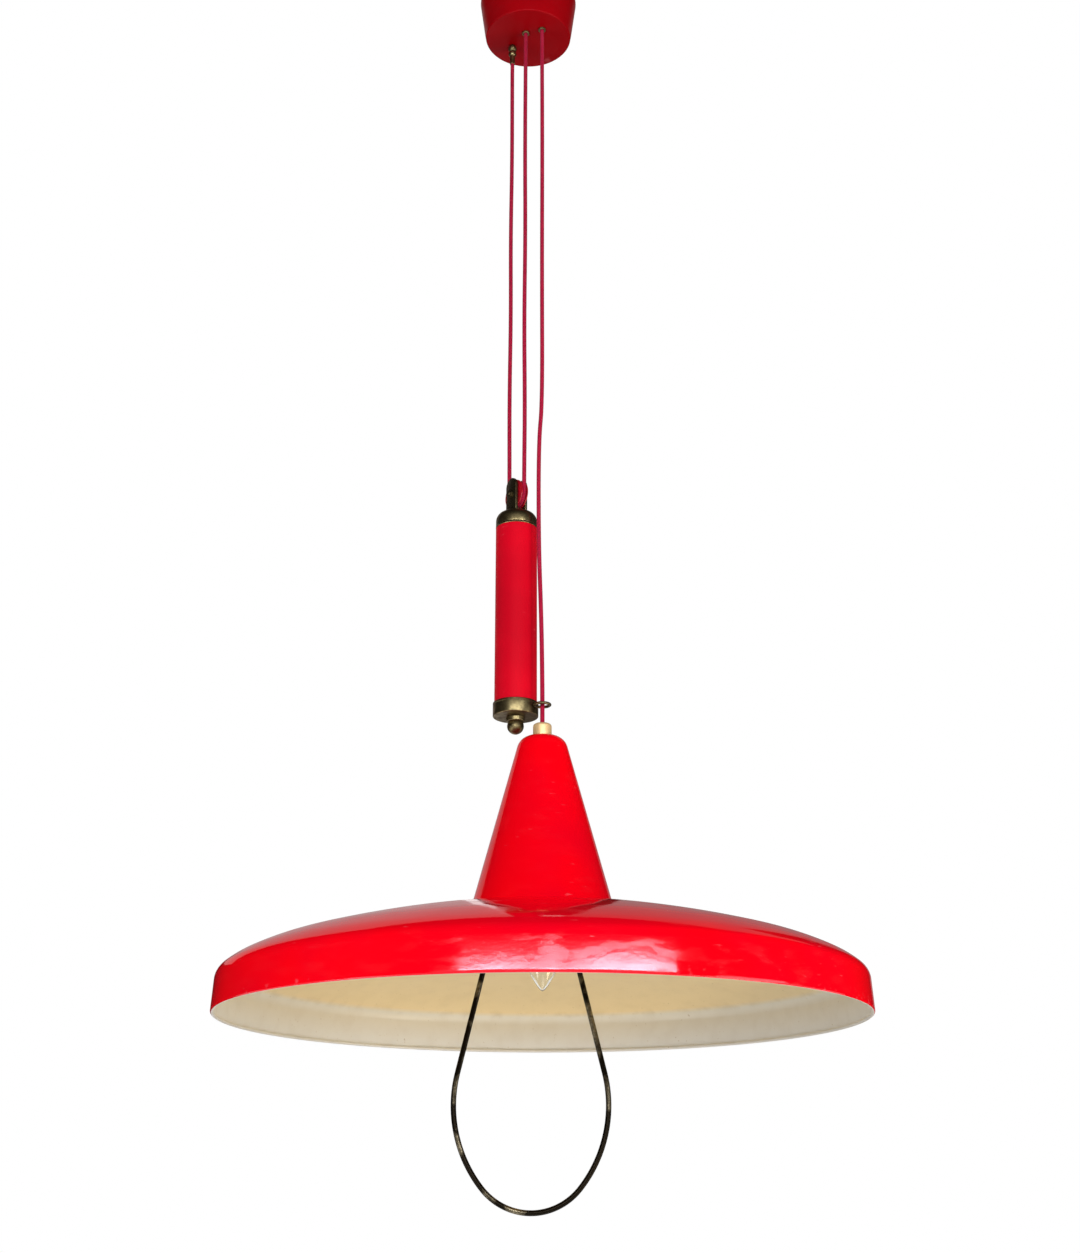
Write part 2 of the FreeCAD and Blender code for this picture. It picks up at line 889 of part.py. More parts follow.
def make_fork():
    """The brass fork on the top cap that carries the sheave between its rounded cheeks."""
    inside = sheave_half_width() + size("side_gap")
    outside = inside + size("fork_sheet")
    foot = size("fork_foot")
    height = size("fork_height")
    width = size("fork_width")
    turn = Rotation(UP.cross(weight_across), UP.cross(UP.cross(weight_across)), UP, "ZXY")
    base = (weight_x, weight_y, weight_z + fork_base)
    blank = slab(
        "fork_blank",
        base,
        "XZ_Plane",
        [
            (-outside, 0),
            (outside, 0),
            (outside, height),
            (inside, height),
            (inside, foot),
            (-inside, foot),
            (-inside, height),
            (-outside, height),
        ],
        width,
        rotation=turn,
    )
    del parts["fork_blank"]
    drill(blank, "XY_Plane", [(0, 0, size("rod_radius") + size("seat_gap"))])
    drill(blank, "YZ_Plane", [(0, size("weight_axle_rise"), size("axle_radius") + size("seat_gap"))])
    return blank, turn, base, outside


def make_weight_fork():
    blank, turn, base, outside = make_fork()
    width = size("fork_width")
    height = size("fork_height")
    across = doc.addObject("Part::Cylinder", "fork_crown")
    across.setExpression("Radius", (width / 2).text)
    across.setExpression("Height", (outside * 2).text)
    crown_z = weight_z + fork_base + height - width / 2
    axle = Vector(UP.cross(weight_across))
    spin = Rotation(weight_across, UP.cross(axle).negative(), axle, "ZXY")
    crown_base = (
        weight_x - outside * float(axle.x),
        weight_y - outside * float(axle.y),
        crown_z,
    )
    place(across, crown_base, spin)
    shaft = doc.addObject("Part::Box", "fork_shaft")
    shaft.setExpression("Length", (outside * 2).text)
    shaft.setExpression("Width", width.text)
    shaft.setExpression("Height", (height - width / 2).text)
    corner = Vector(-float(outside), -float(width) / 2, 0)
    moved = turn.multVec(corner)
    place(shaft, (weight_x + moved.x, weight_y + moved.y, weight_z + fork_base), turn)
    envelope = fuse("fork_envelope", [across, shaft])
    fork = doc.addObject("Part::Common", "pulley_fork")
    fork.Base = blank
    fork.Tool = envelope
    keep("pulley_fork", fork)


def make_weight_sheave():
    centre = (weight_x, weight_y, weight_axle_z)
    turn = facing(weight_across, UP)
    bore = size("axle_radius") + size("running_gap")
    lathe("weight_sheave", centre, groove_points(pitch_offset, bore), turn)
    outside = sheave_half_width() + size("side_gap") + size("fork_sheet")
    head = size("bolt_head_radius")
    tall = size("bolt_head_height")
    pin = size("axle_radius")
    lathe(
        "sheave_bolt",
        centre,
        [
            (0, -outside - tall),
            (head - 0.6, -outside - tall),
            (head, -outside - tall + 0.6, 0.6, 1),
            (head, -outside),
            (pin, -outside),
            (pin, outside + tall + 0.8),
            (0, outside + tall + 0.8),
        ],
        turn,
    )
    axle = turn.multVec(Vector(0, 0, 1))
    nut_base = (
        weight_x + outside * float(axle.x),
        weight_y + outside * float(axle.y),
        weight_axle_z,
    )
    nut = hex_nut("sheave_nut", nut_base, head, pin + size("seat_gap"), tall, turn)
    keep("sheave_nut", nut)


def make_tie_rod():
    """The rod that draws caps, tube and fork together, closed below by the ball nut."""
    top = fork_base + size("fork_foot")
    low = -size("collar_height") - 1
    base = (weight_x, weight_y, weight_z + low)
    keep("tie_rod", rod("tie_rod", base, size("rod_radius"), top - low))
    ball = size("ball_radius")
    drop = size("ball_drop")
    collar = size("collar_radius")
    height = size("collar_height")
    neck = root(ball * ball - (drop - height) * (drop - height))
    bore = size("rod_radius") + size("seat_gap")
    lathe(
        "ball_nut",
        weight_axis,
        [
            (0, low),
            (0, -drop - ball),
            (ball, -drop, ball, 1),
            (neck, -height, ball, 1),
            (collar, -height),
            (collar, 0),
            (bore, 0),
            (bore, low),
        ],
    )


def make_guide_ring():
    """The wire eye soldered to the lower cap; the lamp's fall runs through it."""
    offset_x, offset_y = lamp_x - weight_x, lamp_y - weight_y
    reach = root(offset_x * offset_x + offset_y * offset_y)
    height = weight_z + size("ring_rise")
    eye = doc.addObject("Part::Torus", "guide_eye")
    eye.setExpression("Radius1", size("ring_radius").text)
    eye.setExpression("Radius2", size("ring_wire").text)
    place(eye, (lamp_x, lamp_y, height))
    toward = Vector(float(offset_x), float(offset_y), 0).normalize()
    along = Rotation(UP.negative(), UP.cross(toward), toward, "ZXY")
    stub = rod(
        "guide_stub",
        (weight_x, weight_y, height),
        size("ring_wire"),
        reach - size("ring_radius"),
        along,
    )
    drum = rod(
        "guide_drum", weight_axis, size("cap_radius"), size("cap_height")
    )
    keep("guide_ring", cut("guide_ring", fuse("guide_wire", [eye, stub]), drum))


# ---- shade -----------------------------------------------------------------------------


def brim_stations(inset):
    """The wall's top and the ends of the shell's four tangent arcs, on a skin inset inwards.
    Each station is (radius, height, arc radius); the dome's circle (centre, radius) follows."""
    draft = size("wall_draft") / size("wall_height")
    x = size("rim_radius") - size("wall_draft") - inset
    z = size("wall_height") + 0
    stations = [(x, z, None)]
    heading = Size(math.degrees(math.atan(float(draft))))
    for name in ("brim", "shoulder", "haunch"):
        radius = size(f"{name}_radius") - inset
        turned = heading + size(f"{name}_turn")
        x = x - radius * (cosine(heading) - cosine(turned))
        z = z + radius * (sine(turned) - sine(heading))
        stations.append((x, z, radius))
        heading = turned
    arc = size("dome_radius") - inset
    centre_x = x - arc * cosine(heading)
    centre_z = z - arc * sine(heading)
    opening = size("cone_base_radius") - size("dish_lap")
    run = opening - centre_x
    stations.append((opening, centre_z + root(arc * arc - run * run), arc))
    return stations, (centre_x, centre_z, arc)


def make_dish():
    """The spun dish: a low upright wall with a rolled hem, a tight brim and a shallow dome."""
    outer, _ = brim_stations(Size(0))
    inner, _ = brim_stations(size("shade_sheet"))
    rim = size("rim_radius")
    hem = size("hem_radius")
    skin = size("shade_sheet")
    points = [(x, z) if radius is None else (x, z, radius, 1) for x, z, radius in outer]
    returning = list(reversed(inner))
    points.append(returning[0][:2])
    for station, following in zip(returning[:-1], returning[1:]):
        points.append((following[0], following[1], station[2], -1))
    points.append((rim - skin, hem * 2))
    points.append((rim - hem * 2, hem * 2))
    points.append((rim - hem * 2, hem))
    points.append((rim - hem, 0, hem, 1))
    points.append((rim, hem, hem, 1))
    lathe("dish_shell", lamp_axis, points)


def dome_height(radius):
    """Height of the dish's outer skin at a radius on its dome arc."""
    _, (centre_x, centre_z, arc) = brim_stations(Size(0))
    run = radius - centre_x
    return centre_z + root(arc * arc - run * run)


def cone_profile():
    """The neck's outer skin: foot height, point where the side meets the crown, crown centre,
    and the sine and cosine of the side's lean, which follow from foot and crown."""
    base = size("cone_base_radius")
    crown = size("cone_crown_radius")
    centre_x = size("crown_flat")
    centre_z = size("cone_top_rise") - crown
    low = dome_height(base)
    across = base - centre_x
    rise = centre_z - low
    square = across * across + rise * rise
    slant = root(square - crown * crown)
    lean_sine = (across * slant - crown * rise) / square
    lean_cosine = (rise * slant + crown * across) / square
    tangent_x = centre_x + crown * lean_cosine
    tangent_z = centre_z + crown * lean_sine
    return low, tangent_x, tangent_z, centre_x, lean_sine, lean_cosine


def make_cone():
    """The spun neck: a cone with a rounded crown, its base turned in onto the dish."""
    low, tangent_x, tangent_z, centre_x, lean_sine, lean_cosine = cone_profile()
    skin = size("shade_sheet")
    top = size("cone_top_rise")
    crown = size("cone_crown_radius")
    base = size("cone_base_radius")
    hole = size("hanger_radius") + size("seat_gap")
    gap = size("seat_gap")
    flange_in = base - size("cone_flange")
    flange_low = dome_height(flange_in) + gap
    slant = lean_sine / lean_cosine
    inner_low = low + gap + skin
    inner_base = base - skin / lean_cosine - skin * slant
    inner_x = tangent_x - skin * lean_cosine
    inner_z = tangent_z - skin * lean_sine
    inner_crown = crown - skin
    lathe(
        "cone_shell",
        lamp_axis,
        [
            (flange_in, flange_low),
            (base, low + gap),
            (tangent_x, tangent_z),
            (centre_x, top, crown, 1),
            (hole, top),
            (hole, top - skin),
            (centre_x, top - skin),
            (inner_x, inner_z, inner_crown, -1),
            (inner_base, inner_low),
            (flange_in, flange_low + skin),
        ],
    )


def joint_ring():
    """Radius of the ring of joint screws: the top of each nut just clears the neck's side."""
    low, _, _, _, lean_sine, lean_cosine = cone_profile()
    base = size("cone_base_radius")
    skin = size("shade_sheet")
    rise = dome_height(base - size("cone_flange")) - low + size("joint_nut_seat") + size("joint_nut_height")
    side = base - skin / lean_cosine - (skin + rise) * lean_sine / lean_cosine
    return side - size("joint_nut_radius") - size("joint_nut_clear")


def make_joint_screws():
    """Small screws and nuts that clamp the neck's flange to the dish from inside."""
    ring = joint_ring()
    surface = dome_height(ring)
    skin = size("shade_sheet")
    shank = size("joint_screw_radius")
    below = rim_z + surface - skin - size("joint_head_height") - size("joint_head_seat")
    above = rim_z + surface + skin + size("seat_gap") + size("joint_nut_seat")
    heads = []
    nuts = []
    holes = []
    for index in range(int(SIZES["joint_count"])):
        angle = 360.0 / SIZES["joint_count"] * index + 90.0
        x = lamp_x + ring * cosine(Size(angle))
        y = lamp_y + ring * sine(Size(angle))
        head = rod(f"joint_head_{index}", (x, y, below), size("joint_head_radius"), size("joint_head_height"))
        length = above - below + size("joint_nut_height") + 1
        stem = rod(f"joint_stem_{index}", (x, y, below), shank, length)
        heads.append(fuse(f"joint_screw_{index}", [head, stem]))
        nut_bore = shank + size("seat_gap")
        nuts.append(
            hex_nut(f"joint_nut_{index}", (x, y, above), size("joint_nut_radius"), nut_bore, size("joint_nut_height"))
        )
        holes.append((ring * cosine(Size(angle)), ring * sine(Size(angle)), shank + size("seat_gap")))
    group("joint_screws", heads)
    group("joint_nuts", nuts)
    drill(parts["dish_shell"], "XY_Plane", holes)
    drill(parts["cone_shell"], "XY_Plane", holes)


def make_entry_fitting():
    """The bright brass entry cap on the neck, screwed on the hanger tube over a hex nut."""
    top = size("cone_top_rise")
    radius = size("grip_radius")
    height = size("grip_height")
    crown = size("grip_crown")
    bore = cord_radius + size("seat_gap")
    thread = size("hanger_radius") + size("seat_gap")
    engaged = top + size("hanger_into_grip")
    lathe(
        "entry_cap",
        lamp_axis,
        [
            (thread, top),
            (radius, top),
            (radius, top + height - crown),
            (radius - crown, top + height, crown, 1),
            (bore, top + height),
            (bore, engaged),
            (thread, engaged),
        ],
    )
    tube = size("hanger_radius")
    tube_low = size("holder_top")
    lathe(
        "hanger_tube",
        lamp_axis,
        [(size("hanger_bore"), tube_low), (tube, tube_low), (tube, engaged), (size("hanger_bore"), engaged)],
    )
    nut_height = size("hex_nut_height")
    bore_nut = tube + size("seat_gap")
    under = (lamp_x, lamp_y, rim_z + top - size("shade_sheet") - nut_height)
    keep("neck_nut", hex_nut("neck_nut", under, size("hex_nut_radius"), bore_nut, nut_height))
    over = (lamp_x, lamp_y, rim_z + size("holder_top") + size("ear_sheet"))
    keep("holder_nut", hex_nut("holder_nut", over, size("hex_nut_radius"), bore_nut, nut_height))


def make_lampholder():
    """Screw-cap lampholder: domed cap, skirt with a threaded ring, brass shell and contact."""
    top = size("holder_top")
    cap_low = top - size("holder_cap_height")
    radius = size("holder_radius")
    wall = size("holder_wall")
    low = cap_low - size("holder_length")
    neck = size("hanger_radius") + 3
    lathe(
        "holder_cap",
        lamp_axis,
        [
            (size("hanger_bore"), top),
            (size("hanger_bore"), top - wall),
            (neck, top - wall),
            (radius - wall, cap_low + 3),
            (radius - wall, cap_low),
            (radius, cap_low),
            (radius, cap_low + 5),
            (neck + 2, top),
        ],
    )
    shell = size("screw_shell_radius")
    lathe(
        "holder_skirt",
        lamp_axis,
        [
            (radius - wall, low),
            (radius, low),
            (radius, cap_low),
            (0, cap_low),
            (0, cap_low - wall),
            (radius - wall, cap_low - wall),
        ],
    )
    ring = size("holder_ring_radius")
    ring_low = low + 4
    gap = size("seat_gap")
    lathe(
        "holder_ring",
        lamp_axis,
        [
            (radius + gap, ring_low),
            (ring, ring_low),
            (ring, ring_low + size("holder_ring_height")),
            (radius + gap, ring_low + size("holder_ring_height")),
        ],
    )
    shell_top = cap_low - wall
    lathe(
        "screw_shell",
        lamp_axis,
        [
            (shell, shell_top - size("screw_shell_length")),
            (shell + 0.6, shell_top - size("screw_shell_length")),
            (shell + 0.6, shell_top),
            (shell, shell_top),
        ],
    )
    contact_low = size("bulb_tip") + size("bulb_length") + size("bulb_cap_length") + gap
    contact = (lamp_x, lamp_y, rim_z + contact_low)
    keep("centre_contact", rod("centre_contact", contact, 3, shell_top - contact_low))


def make_bulb():
    """A clear pointed bulb in a brass screw cap; only its tip shows below the neck."""
    tip = size("bulb_tip")
    length = size("bulb_length")
    widest = size("bulb_radius")
    skin = size("bulb_glass")
    neck = size("bulb_cap_radius") - 0.8 - size("seat_gap")
    top = tip + length
    belly = tip + length * 0.42
    lathe(
        "bulb_glass",
        lamp_axis,
        [
            (0, tip),
            (widest * 0.55, tip + length * 0.13, widest * 1.6, 1),
            (widest, belly, length * 0.42, 1),
            (neck, top, length * 1.1, 1),
            (neck, top + 4),
            (neck - skin, top + 4),
            (neck - skin, top),
            (widest - skin, belly, length * 1.1, -1),
            (widest * 0.55 - skin, tip + length * 0.13 + skin, length * 0.42, -1),
            (0, tip + skin * 2, widest * 1.6, -1),
        ],
    )
    cap = size("bulb_cap_radius")
    cap_top = top + size("bulb_cap_length")
    wall = 0.8
    lathe(
        "bulb_cap",
        lamp_axis,
        [
            (cap - wall, top),
            (cap, top),
            (cap, cap_top - 6),
            (5, cap_top - 1.5),
            (5, cap_top),
            (0, cap_top),
            (0, cap_top - 2.5),
            (4, cap_top - 2.5),
            (cap - wall, cap_top - 6.6),
        ],
    )
    stem_low = belly - size("stem_below")
    fit = neck - skin - size("seat_gap")
    lathe(
        "bulb_stem",
        lamp_axis,
        [
            (0, stem_low),
            (size("stem_tip_radius"), stem_low),
            (size("stem_waist_radius"), top - size("stem_flare")),
            (fit, top),
            (fit, top + size("stem_foot")),
            (0, top + size("stem_foot")),
        ],
    )


def make_handle():
    """The folded ear strap on the lampholder and the bent wire loop that hangs in its ears."""
    half = size("ear_half")
    steel = size("ear_sheet")
    outside = half + steel
    base = size("holder_top")
    pivot = size("pivot_rise")
    foot = pivot - size("wire_radius") * 2.6
    strap = slab(
        "ear_strap",
        lamp_axis,
        "XZ_Plane",
        [
            (-outside, foot),
            (-half, foot),
            (-half, base),
            (half, base),
            (half, foot),
            (outside, foot),
            (outside, base + steel),
            (-outside, base + steel),
        ],
        size("ear_width"),
    )
    drill(strap, "XY_Plane", [(0, 0, size("hanger_radius") + size("seat_gap"))])
    drill(strap, "YZ_Plane", [(0, pivot, size("wire_radius") + size("pivot_gap"))])
    sweep("handle_loop", handle_edges(), SIZES["wire_radius"], lamp_axis)


def handle_edges():
    """The loop's centre line: feet in the ears, knees, leaning legs and a three-arc oval."""
    pivot = SIZES["pivot_rise"]
    leg = SIZES["leg_half"]
    foot = SIZES["ear_half"] - SIZES["foot_inset"]
    left = SIZES["loop_left"]
    width = SIZES["loop_half_width"]
    height = SIZES["loop_half_height"]
    end = SIZES["loop_end_radius"]
    side = (width**2 + (height - end) ** 2 - end**2) / (2 * (width - end))
    centre_z = -SIZES["loop_centre_drop"]
    lean = math.radians(SIZES["loop_lean"])
    hub = width - side
    join = math.atan2(height - end, -hub)
    knee_z = SIZES["knee_rise"]

    def half_path(sign):
        touch = Vector(sign * (hub + side * math.cos(lean)), 0, centre_z + side * math.sin(lean))
        rise = knee_z - touch.z
        knee = Vector(touch.x - sign * rise * math.tan(lean), 0, knee_z)
        shift = Vector(-left, 0, 0)
        points = [
            Vector(sign * foot, 0, pivot),
            Vector(sign * leg, 0, pivot),
            knee + shift,
            touch + shift,
        ]
        straight = rounded_path(points, [SIZES["elbow_radius"], SIZES["knee_radius"]])
        low = Vector(sign * (hub + side * math.cos(join)), 0, centre_z - side * math.sin(join)) + shift
        middle_angle = (lean - join) / 2
        middle = Vector(
            sign * (hub + side * math.cos(middle_angle)), 0, centre_z + side * math.sin(middle_angle)
        )
        bulge = Part.Arc(touch + shift, middle + shift, low).toShape()
        return straight, bulge, low

    right, right_bulge, right_low = half_path(1)
    left_run, left_bulge, left_low = half_path(-1)
    bottom = Vector(-left, 0, centre_z - height)
    end_arc = Part.Arc(left_low, bottom, right_low).toShape()
    return Part.__sortEdges__(left_run + [left_bulge, end_arc, right_bulge] + right)


make_canopy()
make_strap()
make_canopy_screws()
make_ceiling_sheave()
make_ceiling_yoke()
make_ceiling_axle()
make_bushes()
make_anchor()
make_terminal_block()
make_falls()
make_supply_tail()
make_weight_body()
make_weight_fork()
make_weight_sheave()
make_tie_rod()
make_guide_ring()
make_dish()
make_cone()
make_joint_screws()
make_entry_fitting()
make_lampholder()
make_lamp_tail()
make_bulb()
make_handle()

doc.recompute()

broken = [obj.Name for obj in doc.Objects if "Invalid" in obj.State or "Error" in obj.State]
broken += [label for label, obj in parts.items() if obj.Shape.isNull() or not obj.Shape.isValid()]
if broken:
    raise ValueError(f"failed objects: {broken}")

os.makedirs("parts", exist_ok=True)
for label, obj in parts.items():
    obj.Shape.exportStep(f"parts/{label}.step")
    box = obj.Shape.BoundBox
    print(f"{label}: {obj.Shape.Volume / 1000:.2f} cm3, z {box.ZMin:.1f} to {box.ZMax:.1f}")
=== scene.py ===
"""Looks of a rise and fall pendant: red enamelled dish, conical neck, braided red flex over
two brass sheaves, tubular counterweight with brass caps and a bent wire pull.  Sizes are
written in millimetres in the part's frame and turned to metres where a mesh is made."""

from __future__ import annotations

import logging
import math
from dataclasses import dataclass, field
from enum import Enum
from typing import Any, Sequence

import bmesh
import bpy
from mathutils import Matrix, Vector

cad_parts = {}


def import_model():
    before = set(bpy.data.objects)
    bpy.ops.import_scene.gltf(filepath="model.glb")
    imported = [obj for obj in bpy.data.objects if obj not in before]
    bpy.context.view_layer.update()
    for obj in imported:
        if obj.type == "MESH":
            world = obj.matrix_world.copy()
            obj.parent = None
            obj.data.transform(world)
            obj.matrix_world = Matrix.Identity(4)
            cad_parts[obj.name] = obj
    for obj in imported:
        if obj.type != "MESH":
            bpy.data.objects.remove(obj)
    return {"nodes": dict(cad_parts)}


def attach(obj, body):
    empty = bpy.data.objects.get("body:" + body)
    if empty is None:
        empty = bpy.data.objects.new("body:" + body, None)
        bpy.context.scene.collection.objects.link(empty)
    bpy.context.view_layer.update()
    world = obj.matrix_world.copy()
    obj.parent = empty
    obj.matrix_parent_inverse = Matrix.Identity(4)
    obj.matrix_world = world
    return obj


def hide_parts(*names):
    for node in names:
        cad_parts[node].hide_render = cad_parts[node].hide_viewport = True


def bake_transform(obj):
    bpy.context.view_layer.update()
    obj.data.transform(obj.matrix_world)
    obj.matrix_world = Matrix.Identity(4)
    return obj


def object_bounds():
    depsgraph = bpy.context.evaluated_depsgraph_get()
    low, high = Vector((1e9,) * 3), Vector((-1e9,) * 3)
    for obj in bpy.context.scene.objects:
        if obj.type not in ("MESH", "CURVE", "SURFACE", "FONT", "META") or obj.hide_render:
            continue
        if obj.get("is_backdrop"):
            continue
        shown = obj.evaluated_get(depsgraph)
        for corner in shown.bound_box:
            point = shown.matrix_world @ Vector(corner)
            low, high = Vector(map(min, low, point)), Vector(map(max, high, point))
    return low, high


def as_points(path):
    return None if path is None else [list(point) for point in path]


log = logging.getLogger("pendant")

MM = 0.001
ON_AXIS = 1e-6
Point = tuple[float, float]
Spot = tuple[float, float, float]
Outline = Sequence[Point]


# ---- small tools -----------------------------------------------------------------------


def linear(hex_colour: str) -> tuple[float, float, float, float]:
    """Turns an sRGB colour into the linear one that Blender works in.

    Args:
        hex_colour: The colour as "#rrggbb".

    Returns:
        Linear red, green, blue and an alpha of 1.
    """
    channels = [int(hex_colour[i : i + 2], 16) / 255 for i in (1, 3, 5)]
    light = [c / 12.92 if c <= 0.04045 else ((c + 0.055) / 1.055) ** 2.4 for c in channels]
    return (light[0], light[1], light[2], 1.0)


def feed(node: bpy.types.Node, inputs: dict[Any, Any]) -> None:
    """Sets or links a node's inputs.

    Args:
        node: The node that is fed.
        inputs: Socket name or index to a number, a colour as "#rrggbb", an output socket, or
            a node, which stands for the first output that it has in use.
    """
    for key, value in inputs.items():
        if isinstance(value, str):
            value = linear(value)
        if isinstance(value, bpy.types.Node):
            value = next(output for output in value.outputs if output.enabled)
        if isinstance(value, bpy.types.NodeSocket):
            node.id_data.links.new(value, node.inputs[key])
        else:
            node.inputs[key].default_value = value


def add_node(
    tree: bpy.types.NodeTree, kind: str, inputs: dict[Any, Any] | None = None, **settings: Any
) -> bpy.types.Node:
    """Adds one node with its settings and links.

    Args:
        tree: The node tree that gets the node.
        kind: The node's type name, without its first word, ShaderNode.
        inputs: What feeds its sockets, in the form that feed takes.
        **settings: The node's own properties.

    Returns:
        The new node.
    """
    node = tree.nodes.new(f"ShaderNode{kind}")
    for key, value in settings.items():
        setattr(node, key, value)
    feed(node, inputs or {})
    return node


@dataclass
class Coat:
    """A material being made: its tree, its shader and the part's own coordinates."""

    name: str
    material: bpy.types.Material = field(init=False)
    tree: bpy.types.NodeTree = field(init=False)
    shader: bpy.types.Node = field(init=False)
    place: bpy.types.NodeSocket = field(init=False)
    thread: bpy.types.NodeSocket = field(init=False)

    def __post_init__(self) -> None:
        """Makes the empty material with its Principled shader."""
        self.material = bpy.data.materials.new(self.name)
        self.material.use_nodes = True
        self.tree = self.material.node_tree
        self.shader = self.tree.nodes["Principled BSDF"]
        coordinates = add_node(self.tree, "TexCoord")
        self.place = coordinates.outputs["Object"]
        self.thread = coordinates.outputs["UV"]

    def blotches(
        self,
        grain_mm: float,
        detail: float,
        levels: tuple[float, float],
        amounts: tuple[float, float] = (0.0, 1.0),
        stretch: tuple[float, float, float] | None = None,
    ) -> bpy.types.Node:
        """An uneven pattern: cloudy grain, cut off below one level and full above another.

        Args:
            grain_mm: The size of one blotch.
            detail: How many finer octaves it has.
            levels: The grain's values where the pattern starts and where it is full.
            amounts: What the pattern gives at those two values.
            stretch: Scale factors along X, Y and Z.

        Returns:
            The node that holds the pattern.
        """
        return add_node(
            self.tree,
            "MapRange",
            {
                "Value": self._grain(grain_mm, detail, stretch, self.place),
                "From Min": levels[0],
                "From Max": levels[1],
                "To Min": amounts[0],
                "To Max": amounts[1],
            },
        )

    def roughen(
        self,
        grain_mm: float,
        detail: float,
        depth_mm: float,
        strength: float = 1.0,
        stretch: tuple[float, float, float] | None = None,
        place: bpy.types.NodeSocket | None = None,
    ) -> None:
        """Gives the surface a fine grain in relief.

        Args:
            grain_mm: The size of one bump.
            detail: How many finer octaves it has.
            depth_mm: From its lowest point to its highest.
            strength: How much of it shows.
            stretch: Scale factors along the coordinates.
            place: The coordinates, the part's own where none are given.
        """
        height = self._grain(grain_mm, detail, stretch, place or self.place)
        self.raise_by(height, depth_mm, strength)

    def raise_by(self, height: bpy.types.Node, depth_mm: float, strength: float = 1.0) -> None:
        """Lays a height pattern on the shader, depth_mm from its lowest to its highest."""
        bump = {"Height": height, "Distance": depth_mm * MM, "Strength": strength}
        feed(self.shader, {"Normal": add_node(self.tree, "Bump", bump)})

    def _grain(
        self,
        grain_mm: float,
        detail: float,
        stretch: tuple[float, float, float] | None,
        place: bpy.types.NodeSocket,
    ) -> bpy.types.Node:
        """Cloudy grain of a real size on stretched coordinates.

        Args:
            grain_mm: The size of one blotch.
            detail: How many finer octaves it has.
            stretch: Scale factors along the coordinates, if any.
            place: The coordinates.

        Returns:
            The node that holds the grain.
        """
        where: Any = place
        if stretch is not None:
            where = add_node(self.tree, "Mapping", {"Vector": place, "Scale": stretch})
        scale = 1 / (grain_mm * MM)
        return add_node(self.tree, "TexNoise", {"Vector": where, "Scale": scale, "Detail": detail})


# ---- finishes --------------------------------------------------------------------------


@dataclass(frozen=True)
class StoveEnamel:
    """Gloss stove enamel sprayed on spun metal: even deep colour, faint orange peel from the
    spray, a little fading, and rubs and pinhole chips where hands and ladders met it."""

    name: str
    colour: str
    faded: str
    rubbed: str
    roughness: float = 0.06
    dulling: float = 0.16
    gleam: float = 0.5
    gleam_tint: str = "#ffc8d8"
    peel_mm: float = 3.0
    blotch_mm: float = 90.0
    patch_mm: float = 60.0
    rub_mm: float = 5.0
    rub_depth: float = 0.35
    chip_mm: float = 1.6
    chip_depth: float = 0.4
    haze_mm: float = 11.0
    edge_z_mm: float | None = None
    edge_band_mm: float = 10.0
    edge_depth: float = 0.6

    def material(self) -> bpy.types.Material:
        """Builds the enamel.

        Returns:
            The finished material.
        """
        coat = Coat(self.name)
        tree = coat.tree
        fading = coat.blotches(self.blotch_mm, 2, (0.35, 0.7))
        body = add_node(tree, "Mix", {0: fading, 6: self.colour, 7: self.faded}, data_type="RGBA")
        patches = coat.blotches(self.patch_mm, 3, (0.52, 0.66))
        worn = self._worn(coat, patches)
        tone = add_node(tree, "Mix", {0: worn, 6: body, 7: self.rubbed}, data_type="RGBA")
        hazy = coat.blotches(self.haze_mm, 5, (0.5, 0.62), stretch=(0.4, 0.4, 1.5))
        mostly = add_node(tree, "MapRange", {"Value": patches, "To Min": 0.5})
        haze = add_node(tree, "Math", {0: hazy, 1: mostly}, operation="MULTIPLY")
        dull = self.roughness + self.dulling
        dulled = add_node(
            tree, "MapRange", {"Value": haze, "To Min": self.roughness, "To Max": dull}
        )
        scuffed = add_node(tree, "Math", {0: worn, 1: 0.3}, operation="MULTIPLY")
        rough = add_node(tree, "Math", {0: dulled, 1: scuffed}, operation="ADD")
        feed(coat.shader, {"Base Color": tone, "Roughness": rough})
        feed(coat.shader, {"Specular IOR Level": self.gleam, "Specular Tint": self.gleam_tint})
        coat.roughen(self.peel_mm, 1, 0.012)
        return coat.material

    def _worn(self, coat: Coat, patches: bpy.types.Node) -> bpy.types.Node:
        """Where the enamel is rubbed, chipped or knocked along its edge.

        Args:
            coat: The material being made.
            patches: Where wear gathers.

        Returns:
            The node that holds the wear.
        """
        tree = coat.tree
        strokes = coat.blotches(self.rub_mm, 4, (0.66, 0.72), stretch=(0.35, 0.35, 1.6))
        chips = coat.blotches(self.chip_mm, 1, (0.79, 0.82))
        marks = [(strokes, patches, self.rub_depth), (chips, patches, self.chip_depth)]
        if self.edge_z_mm is not None:
            height = add_node(tree, "SeparateXYZ", {0: coat.place}).outputs["Z"]
            top, foot = (self.edge_z_mm + self.edge_band_mm) * MM, self.edge_z_mm * MM
            band = add_node(
                tree, "MapRange", {"Value": height, "From Min": top, "From Max": foot}
            )
            knocks = coat.blotches(4.5, 3, (0.6, 0.68))
            runs = coat.blotches(50, 2, (0.5, 0.62))
            knocked = add_node(tree, "Math", {0: knocks, 1: runs}, operation="MULTIPLY")
            marks.append((band, knocked, self.edge_depth))
        worn: Any = 0.0
        for mark, where, depth in marks:
            seen = add_node(tree, "Math", {0: mark, 1: where}, operation="MULTIPLY")
            faint = add_node(tree, "Math", {0: seen, 1: depth}, operation="MULTIPLY")
            worn = add_node(tree, "Math", {0: worn, 1: faint}, operation="MAXIMUM")
        return worn


